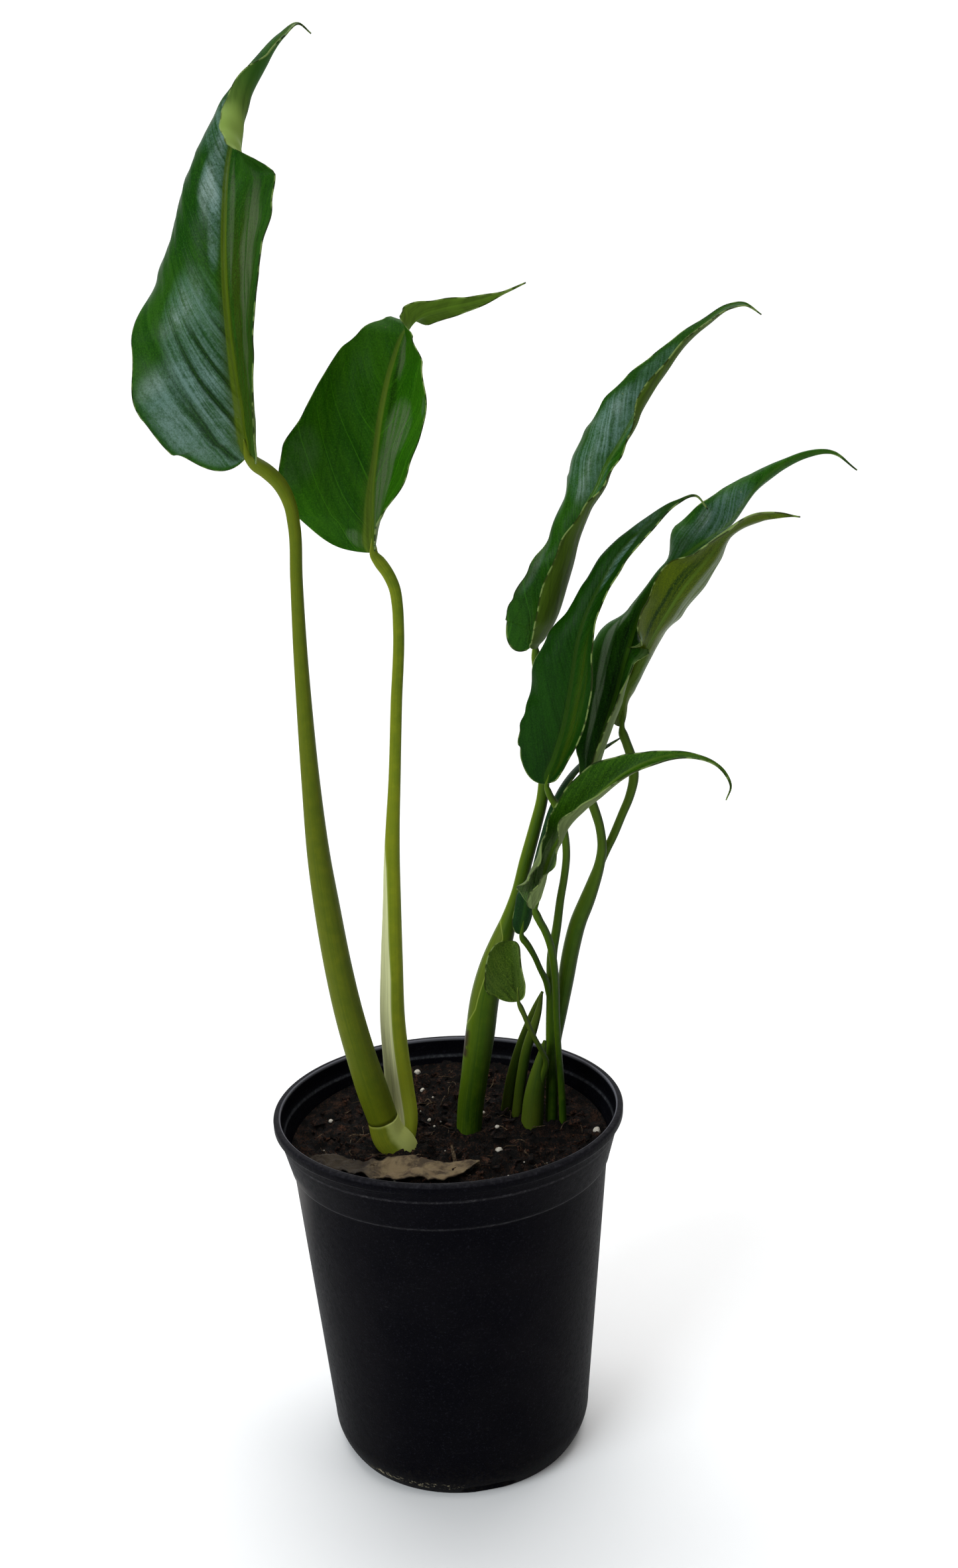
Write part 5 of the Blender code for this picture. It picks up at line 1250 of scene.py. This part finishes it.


# %% [markdown]
# Each leaf gets its own finish, because the old ones are darker and glossier than those that have just
# opened. A shine is across, along, half across, half along and amount, and lays a coat with a painted sheen.
# A tint has its colour after these; the pale satin tints paint a sheen and one dark tint paints shade in a
# fold.

# %% The nine leaves
OLIVE_BROWN = (0.030, 0.048, 0.003)
# A pale satin colour that paints a sheen.
PAINTED_SATIN_SHEEN = (0.085, 0.115, 0.055)
LEAF_LOOKS = {
    "tall_left": dict(
        deep=(0.006, 0.044, 0.0020), fresh=(0.020, 0.080, 0.0040), under=(0.085, 0.150, 0.022), seed=0.0,
        midrib=(0.072, 0.118, 0.004), gloss=0.32, furrows=1.0, pale_veins=0.12, flare=1.6,
        shine=[(-0.50, 0.09, 0.55, 0.13, 1.0), (-0.34, 0.25, 0.34, 0.15, 0.78),
               (-0.18, 0.57, 0.20, 0.10, 0.95), (-0.11, 0.47, 0.08, 0.09, 0.8),
               (-0.40, 0.70, 0.45, 0.08, 0.75)],
        tints=[(0.40, 0.22, 0.55, 0.34, 0.9, OLIVE_BROWN), (0.55, 0.42, 0.22, 0.16, 0.9, PAINTED_SATIN_SHEEN),
               (0.50, 0.24, 0.12, 0.10, 0.5, PAINTED_SATIN_SHEEN), (0.12, 0.48, 0.07, 0.14, 0.8, PAINTED_SATIN_SHEEN)],
        back_tints=[(0.80, 0.63, 0.45, 0.08, 1.0, (0.18, 0.27, 0.05)),
                    (0.0, 0.88, 2.0, 0.18, 1.0, (0.020, 0.078, 0.006))]),
    "second_left": dict(
        deep=(0.011, 0.070, 0.0008), fresh=(0.028, 0.115, 0.0020), under=(0.085, 0.165, 0.012), seed=3.0,
        midrib=(0.095, 0.160, 0.012), gloss=0.36, furrows=0.15, pale_veins=0.42, flare=2.2,
        painted_sheen=(0.060, 0.105, 0.050),
        shine=[(-0.85, 0.24, 0.28, 0.09, 0.35), (0.90, 0.42, 0.10, 0.03, 0.7)],
        # The first three tints paint a satin sheen to the right of the midrib.
        tints=[(0.26, 0.20, 0.24, 0.16, 1.0, (0.110, 0.150, 0.075)),
               (0.34, 0.35, 0.26, 0.09, 1.0, (0.100, 0.140, 0.070)), (0.22, 0.56, 0.14, 0.08, 0.9, PAINTED_SATIN_SHEEN),
               (0.13, 0.47, 0.06, 0.12, 0.8, (0.004, 0.02, 0.0005)),
               (-0.28, 0.04, 0.16, 0.025, 0.5, (0.16, 0.24, 0.12))]),
    "tall_middle": dict(
        deep=(0.007, 0.046, 0.0015), fresh=(0.019, 0.082, 0.0035), under=(0.052, 0.098, 0.006), seed=6.0,
        midrib=(0.045, 0.125, 0.006), gloss=0.30, furrows=0.5, pale_veins=0.35, flare=0.5,
        shine=[(-0.30, 0.56, 0.60, 0.10, 1.0), (-0.30, 0.42, 0.60, 0.08, 0.6),
               (-0.30, 0.70, 0.60, 0.07, 0.45), (-0.9, 0.19, 0.20, 0.09, 0.25)],
        tints=[(-0.95, 0.20, 0.22, 0.10, 0.6, PAINTED_SATIN_SHEEN), (-0.30, 0.10, 0.25, 0.16, 0.4, (0.030, 0.075, 0.002)),
               (0.0, 0.85, 1.0, 0.08, 0.7, (0.014, 0.060, 0.002))]),
    "front": dict(
        deep=(0.004, 0.029, 0.0008), fresh=(0.008, 0.046, 0.0012), under=(0.13, 0.19, 0.035), seed=9.0,
        midrib=(0.020, 0.060, 0.002), gloss=0.36, furrows=0.3, pale_veins=0.08, flare=0.3,
        shine=[(0.15, 0.66, 0.22, 0.10, 0.8), (-0.2, 0.80, 0.5, 0.06, 0.35)],
        tints=[(0.38, 0.22, 0.28, 0.26, 0.80, (0.036, 0.066, 0.002))]),
    "long_right": dict(
        deep=(0.008, 0.050, 0.0020), fresh=(0.022, 0.095, 0.0050), under=(0.11, 0.17, 0.040), seed=12.0,
        midrib=(0.045, 0.125, 0.006), gloss=0.32, furrows=0.4, pale_veins=0.15, flare=0.3,
        painted_sheen=(0.075, 0.140, 0.125),
        shine=[(-0.30, 0.66, 0.60, 0.09, 0.85), (-0.40, 0.55, 0.40, 0.05, 0.4)],
        # painted shade inside the fold along the midrib
        tints=[(-0.05, 0.24, 0.40, 0.22, 0.9, (0.003, 0.014, 0.002)),
               # painted highlight along a fold's ridge
               (-0.50, 0.25, 0.13, 0.22, 1.0, (0.20, 0.27, 0.18)),
               (0.75, 0.20, 0.25, 0.25, 0.9, (0.13, 0.22, 0.07)),
               (0.0, 0.86, 0.8, 0.08, 0.6, (0.030, 0.095, 0.003))]),
    "right_open": dict(
        deep=(0.030, 0.056, 0.0006), fresh=(0.066, 0.098, 0.0012), under=(0.12, 0.18, 0.045), seed=15.0,
        midrib=(0.075, 0.140, 0.010), gloss=0.33, furrows=0.4, pale_veins=0.15, flare=0.3,
        shine=[(-0.75, 0.30, 0.20, 0.06, 0.9)],
        tints=[(-0.22, 0.46, 0.24, 0.24, 1.0, (0.006, 0.026, 0.002)),
               # painted satin sheen on the right half
               (0.66, 0.52, 0.36, 0.34, 1.0, (0.18, 0.225, 0.15)),
               (0.2, 0.20, 0.6, 0.08, 0.6, (0.016, 0.075, 0.003)),
               (0.0, 0.05, 1.5, 0.10, 0.9, (0.15, 0.19, 0.09))]),
    "curled": dict(
        deep=(0.010, 0.048, 0.0012), fresh=(0.040, 0.115, 0.0040), under=(0.150, 0.205, 0.070), seed=18.0,
        midrib=(0.080, 0.160, 0.010), gloss=0.34, furrows=0.4, pale_veins=0.12, flare=0.3,
        shine=[(0.3, 0.40, 0.3, 0.12, 0.35)],
        tints=[(0.80, 0.45, 0.32, 0.38, 1.0, (0.15, 0.21, 0.085)),
               (-0.4, 0.45, 0.35, 0.25, 0.7, (0.016, 0.055, 0.002)),
               (0.0, 0.12, 1.5, 0.17, 1.0, (0.13, 0.18, 0.075))]),
    "spoon": dict(
        deep=(0.026, 0.060, 0.0030), fresh=(0.068, 0.112, 0.0110), under=(0.11, 0.16, 0.03), seed=21.0,
        midrib=(0.060, 0.110, 0.012), gloss=0.45, furrows=0.8, pale_veins=0.15, flare=0.2,
        tints=[(0.6, 0.6, 0.5, 0.45, 0.8, (0.095, 0.150, 0.035)),
               (-0.05, 0.35, 0.12, 0.35, 0.7, (0.010, 0.026, 0.001))]),
    "quill": dict(
        deep=(0.004, 0.022, 0.0040), fresh=(0.009, 0.042, 0.0070), under=(0.030, 0.075, 0.008), seed=24.0,
        midrib=(0.014, 0.050, 0.006), gloss=0.40, furrows=0.2, pale_veins=0.1, flare=0.2),
}
LEAF_SHAPES = {
    "tall_left": dict(
        half_columns=26, rows=190, spacing=19.0, slant=1.1, arch=0.034, swell=0.22, wave=0.08, rib=1.8),
    "second_left": dict(
        half_columns=26, rows=170, spacing=20.0, slant=1.0, arch=0.030, swell=0.20, wave=0.3, rib=1.7),
    "tall_middle": dict(
        half_columns=20, rows=190, spacing=16.0, slant=1.8, arch=0.05, swell=0.10, wave=0.2, rib=1.0),
    "front": dict(
        half_columns=20, rows=160, spacing=16.0, slant=1.7, arch=0.05, swell=0.10, wave=0.2, rib=0.9),
    "long_right": dict(
        half_columns=18, rows=190, spacing=16.0, slant=1.9, arch=0.05, swell=0.10, wave=0.2, rib=0.9,
        fuller=(1, 0.350, 0.040, 0.9)),
    "right_open": dict(
        half_columns=16, rows=150, spacing=14.0, slant=1.9, arch=0.06, swell=0.08, wave=0.2, rib=0.8,
        fuller=(-1, 0.33, 0.060, 0.45)),
    "curled": dict(
        half_columns=16, rows=170, spacing=12.0, slant=1.9, arch=0.06, swell=0.06, wave=0.2, rib=0.7),
    "spoon": dict(
        half_columns=16, rows=60, spacing=8.0, slant=1.2, arch=0.06, swell=0.06, wave=0.1, rib=0.5),
    "quill": dict(
        half_columns=12, rows=110, spacing=9.0, slant=2.0, arch=0.08, swell=0.03, wave=0.1, rib=0.5),
}
for name in LEAVES:
    finish = leaf_finish(name + "_leaf_skin", **LEAF_LOOKS[name])
    piece(name + "_blade", blade(name, **LEAF_SHAPES[name]), finish, "leaf", "leaf_" + name)

# %% [markdown]
# The petioles come after the leaves in this file, because each runs a few millimetres on into its leaf's
# midrib, as the real one does. Where one grows out of another, the two become one piece, as their solid is
# one. The second left petiole is flattened, and shares a stub with the first.

# %% The petioles as pieces
def petiole(name, sides, rows, foot=0.0, flatten=1.0):
    """A petiole up to its blade's base and a little way into the midrib."""
    knots = list(PETIOLES[name])
    neck = NECK * knots[-1][3]
    base, beyond = (np.array(point) for point in LEAVES[name].midrib[:2])
    run = beyond - base
    run = run / np.linalg.norm(run)
    knots += [(*base, neck), (*(base + run * 3.5), 0.7 * neck), (*(base + run * 8.0), 0.25)]
    return stem(knots, sides, rows, flatten, CHANNELS.get(name, NO_CHANNEL), foot)


def grown(name, bm, finish, slot="petiole"):
    """A stem piece in place of the solid that has the same words in its name, the kind first."""
    plain, kind = name.rsplit("_", 1)
    piece(name, bm, finish, slot, kind + "_" + plain)


grown("tall_left_petiole", petiole("tall_left", 36, 190), left_skin)
grown("second_left_petiole", petiole("second_left", 44, 190, 0.0, 0.75), second_skin)
piece("left_crown", stem(CROWN, 36, 30, foot=4.0), crown_skin, "petiole")
grown("tall_middle_petiole", petiole("tall_middle", 40, 190, STEM_DEPTH), middle_skin)
front = joined(petiole("front", 24, 120, STEM_DEPTH), petiole("quill", 20, 50))
grown("front_petiole", front, clump_skin)
long_right = joined(petiole("long_right", 28, 120, STEM_DEPTH), petiole("right_open", 24, 70))
grown("long_right_petiole", long_right, clump_skin)
grown("curled_petiole", petiole("curled", 20, 90, STEM_DEPTH), clump_skin)

# %% [markdown]
# ## The old sheaths
#
# Three papery sheaths still stand round the foot of the right-hand shoot. Each once wrapped a leaf and now
# tapers to a dry tip. The front one carries the small spoon leaf's petiole.

# %% The sheaths
sheath_skin = stem_finish(
    "sheath_skin", (0.045, 0.065, 0.005), (0.026, 0.056, 0.004), (0.060, 0.095, 0.010),
    (158, 180, 190, 215), contrast=0.85, gloss=0.5)
for name in ("outer", "inner"):
    grown(name + "_sheath", stem(SHEATHS[name], 24, 60, 0.8, foot=STEM_DEPTH), sheath_skin, "sheath")
front_sheath = joined(stem(SHEATHS["front"], 30, 60, foot=STEM_DEPTH), petiole("spoon", 20, 60))
grown("front_sheath", front_sheath, sheath_skin, "sheath")

# %% [markdown]
# ## The dead leaf
#
# A leaf that fell in autumn has dried on the soil: brown, brittle, curled up at its edges and torn. It is
# the same sheet as the solid, finely divided, with creases from noise and a ragged outline.

# %% The dead leaf
SPINE = [(-66, -22), (-50, -33), (-34, -41), (-17, -43), (0, -42), (14, -39)]
SPINE_WIDTHS = [1.5, 6.0, 8.5, 9.5, 8.0, 1.5]


def soil_height(x, y):
    """The solid's soil with its perlite grains."""
    height = mound(x, y)
    for grain_x, grain_y, size in PERLITE:
        near = math.hypot(x - grain_x, y - grain_y) / (size * 1.6)
        height += size * max(0.0, 1 - near * near)
    return height


def highest_near(x, y, reach=3.0):
    """The highest soil at a place and on a ring of eight places round it."""
    around = [(x, y)] + [(x + reach * math.cos(a), y + reach * math.sin(a)) for a in np.linspace(0, 5.5, 8)]
    return max(soil_height(*point) for point in around)


def dead_leaf(half=14, rows=110, thick=0.35):
    """A creased sheet with a ragged margin, laid just over the soil."""
    spine = smooth_path([(*point, 0.0) for point in SPINE], np.linspace(0, 1, rows + 1))
    columns = 4 * half

    def place(column, row):
        v = row / rows
        top = column <= 2 * half
        u = (column if top else columns - column) / (2 * half)
        across = (u - 0.5) * 2
        x, y = spine[row][:2]
        ragged = 1 + 0.18 * math.sin(17 * v + 4 * u) + 0.16 * noise.noise(Vector((v * 16, across * 0.8, 2.0)))
        wide = float(np.interp(v, np.linspace(0, 1, len(SPINE_WIDTHS)), SPINE_WIDTHS)) * ragged
        y += across * wide
        curl = 2.6 * across * across * (0.6 + 0.4 * math.sin(9 * v + 3 * across))
        lift = 1.0 + curl + 0.5 * math.sin(12 * v) ** 2
        crease = noise.noise(Vector((x * 0.22, y * 0.22, 5.0))) * 1.4
        crease += noise.noise(Vector((x * 0.6, y * 0.6, 9.0))) * 0.6
        fold = 0.5 * abs(math.sin(2.2 * across + 26 * v))
        half_thick = thick * min(1.0, (1 - abs(across)) * wide / 0.5) ** 0.5
        height = highest_near(x, y) + lift + crease * 0.8 + fold + (half_thick if top else -half_thick)
        return (x, y, height), (across, v, float(not top))

    return rolled_grid(columns, rows, place, ("leaf",))


# %% [markdown]
# Dry tissue is tan in blotches, pale along its midrib and dark along its edges and towards its base. It has
# little gloss.

# %% Dry leaf tissue
dry = Finish("dry_leaf", Specular_IOR_Level=0.25)
spot = dry.place()
across, along, _ = dry.parts(dry.stored("leaf"))
blotches = dry.cloud(spot, 0.14, 5.0, 0.65)
fibres = dry.cloud(dry.vector(abs(across) * 2.0 - along * 9.0, across * 0.8, along), 3.0, 4.0)
tan = dry.coats(
    (0.040, 0.026, 0.014),
    (dry.ramp(blotches, 0.34, 0.58), (0.150, 0.108, 0.056)),
    (dry.ramp(fibres, 0.5, 0.7) * 0.5, (0.15, 0.10, 0.055)),
    (dry.ramp(abs(across), 0.86, 1.0) * 0.7, (0.016, 0.009, 0.005)),
    (dry.fall(abs(across), 0.03, 0.09) * 0.5, (0.17, 0.12, 0.07)),
    (dry.fall(along + blotches * 0.15, 0.44, 0.58) * 0.85, (0.014, 0.010, 0.007)),
)
dry.wear(
    Base_Color=tan,
    Roughness=0.70 + blotches * 0.25,
    Normal=dry.bumps(fibres + blotches, 0.7),
)
piece("dead_leaf_on_soil", dead_leaf(), dry, "dead_leaf", "dead_leaf")

# %% [markdown]
# ## Rootlets and a splinter
#
# Hair-thin roots and shreds of coir lie among the crumbs, and a pale splinter leans in front of the middle
# stem. Each is a bent tube with four sides, so a hundred of them cost little.

# %% Rootlets
ROOTLETS = 95
SPLINTER = [(3.0, -31.0, 153.5, 0.9), (2.0, -28.5, 158.5, 0.85), (1.4, -27.0, 162.0, 0.5)]


def rootlets():
    """Short bent tubes that wander over the crumbs, and the splinter."""
    parts = []
    for _ in range(ROOTLETS):
        x, y = free_spot(1.0, 64.0)
        heading = strewn.uniform(0, 2 * math.pi)
        bend = strewn.normal(0, 0.5, 5)
        step = strewn.uniform(0.9, 2.4)
        knots = []
        for number in range(5):
            lift = 0.9 + 0.8 * math.sin(number * 0.8 + bend[0])
            knots.append((x, y, crumbly(x, y) + lift, 0.22 if number < 4 else 0.1))
            heading += bend[number]
            x += step * math.cos(heading)
            y += step * math.sin(heading)
            if math.hypot(x, y) > 69:
                break
        if len(knots) > 2:
            parts.append(stem(knots, 4, 6))
    parts.append(stem(SPLINTER, 7, 6))
    return joined(*parts)


straw = earth("dry_rootlets", (0.060, 0.038, 0.020), (0.26, 0.19, 0.12), 0.3)
piece("rootlets", rootlets(), straw, "soil")

# %% [markdown]
# ## Floor and light
#
# The photograph's plant stands against white. A pale floor that curves up into a backdrop does the same
# with no corner behind the pot. A large soft light on the upper left gives the broad sheen on the waxy
# leaves, a weaker one fills from the right, one overhead keeps the floor pale, and one over the back lights
# the backdrop.

# %% Floor and backdrop
def sweep_profile():
    """The floor, a round corner and the backdrop, seen from the side."""
    bend = 1.2
    corner = [(1.5 + bend * math.sin(a), bend - bend * math.cos(a)) for a in np.linspace(0, math.pi / 2, 13)]
    return [(-4.0, 0.0), (0.0, 0.0)] + corner + [(1.5 + bend, 5.0)]


bm = bmesh.new()
verts = [bm.verts.new((-5.0, y, z)) for y, z in sweep_profile()]
edges = [bm.edges.new(pair) for pair in zip(verts, verts[1:])]
swept = bmesh.ops.extrude_edge_only(bm, edges=edges)
moved = [item for item in swept["geom"] if isinstance(item, bmesh.types.BMVert)]
bmesh.ops.translate(bm, verts=moved, vec=(10, 0, 0))
bmesh.ops.recalc_face_normals(bm, faces=bm.faces)
paper = Finish("pale_paper", Specular_IOR_Level=0.1)
paper.wear(
    Base_Color=paper.mix(paper.cloud(paper.place(), 0.004, 2.0), (0.93, 0.93, 0.93), (0.96, 0.96, 0.96)),
    Roughness=0.9 + paper.cloud(paper.place(), 0.1) * 0.1,
)
floor = plain_object("pale_floor", bm)
floor.data.shade_smooth()
floor.data.materials.append(paper.material)


# %% Lights
def soft_light(name, place, aim, size, watts, colour=(1, 1, 1)):
    """A rectangle of light at a place, turned to its aim."""
    lamp = bpy.data.lights.new(name, "AREA")
    lamp.shape = "RECTANGLE"
    lamp.size, lamp.size_y = size
    lamp.energy = watts
    lamp.color = colour
    obj = bpy.data.objects.new(name, lamp)
    obj.rotation_euler = (Vector(aim) - Vector(place)).to_track_quat("-Z", "Y").to_euler()
    obj.location = place
    bpy.context.scene.collection.objects.link(obj)


soft_light("left_window", (-1.5, -1.7, 1.5), (0.0, 0.0, 0.4), (1.4, 1.4), 38, (0.90, 0.96, 1.0))
soft_light("right_fill", (1.8, -0.9, 1.0), (0.05, 0.0, 0.4), (1.0, 1.6), 6, (1.0, 0.99, 0.97))
soft_light("overhead", (0.0, 0.3, 2.4), (0.0, 0.2, 0.0), (2.4, 2.4), 26)
soft_light("backdrop_wash", (0.0, 0.9, 3.2), (0.0, 2.7, 1.2), (3.0, 1.0), 60)

world = bpy.data.worlds.new("soft_room")
world.use_nodes = True
glow = world.node_tree.nodes["Background"].inputs
glow["Color"].default_value = (1.0, 1.0, 1.0, 1.0)
glow["Strength"].default_value = 0.15
bpy.context.scene.world = world
bpy.context.scene.view_settings.view_transform = "Standard"
bpy.context.scene.view_settings.exposure = 0.12
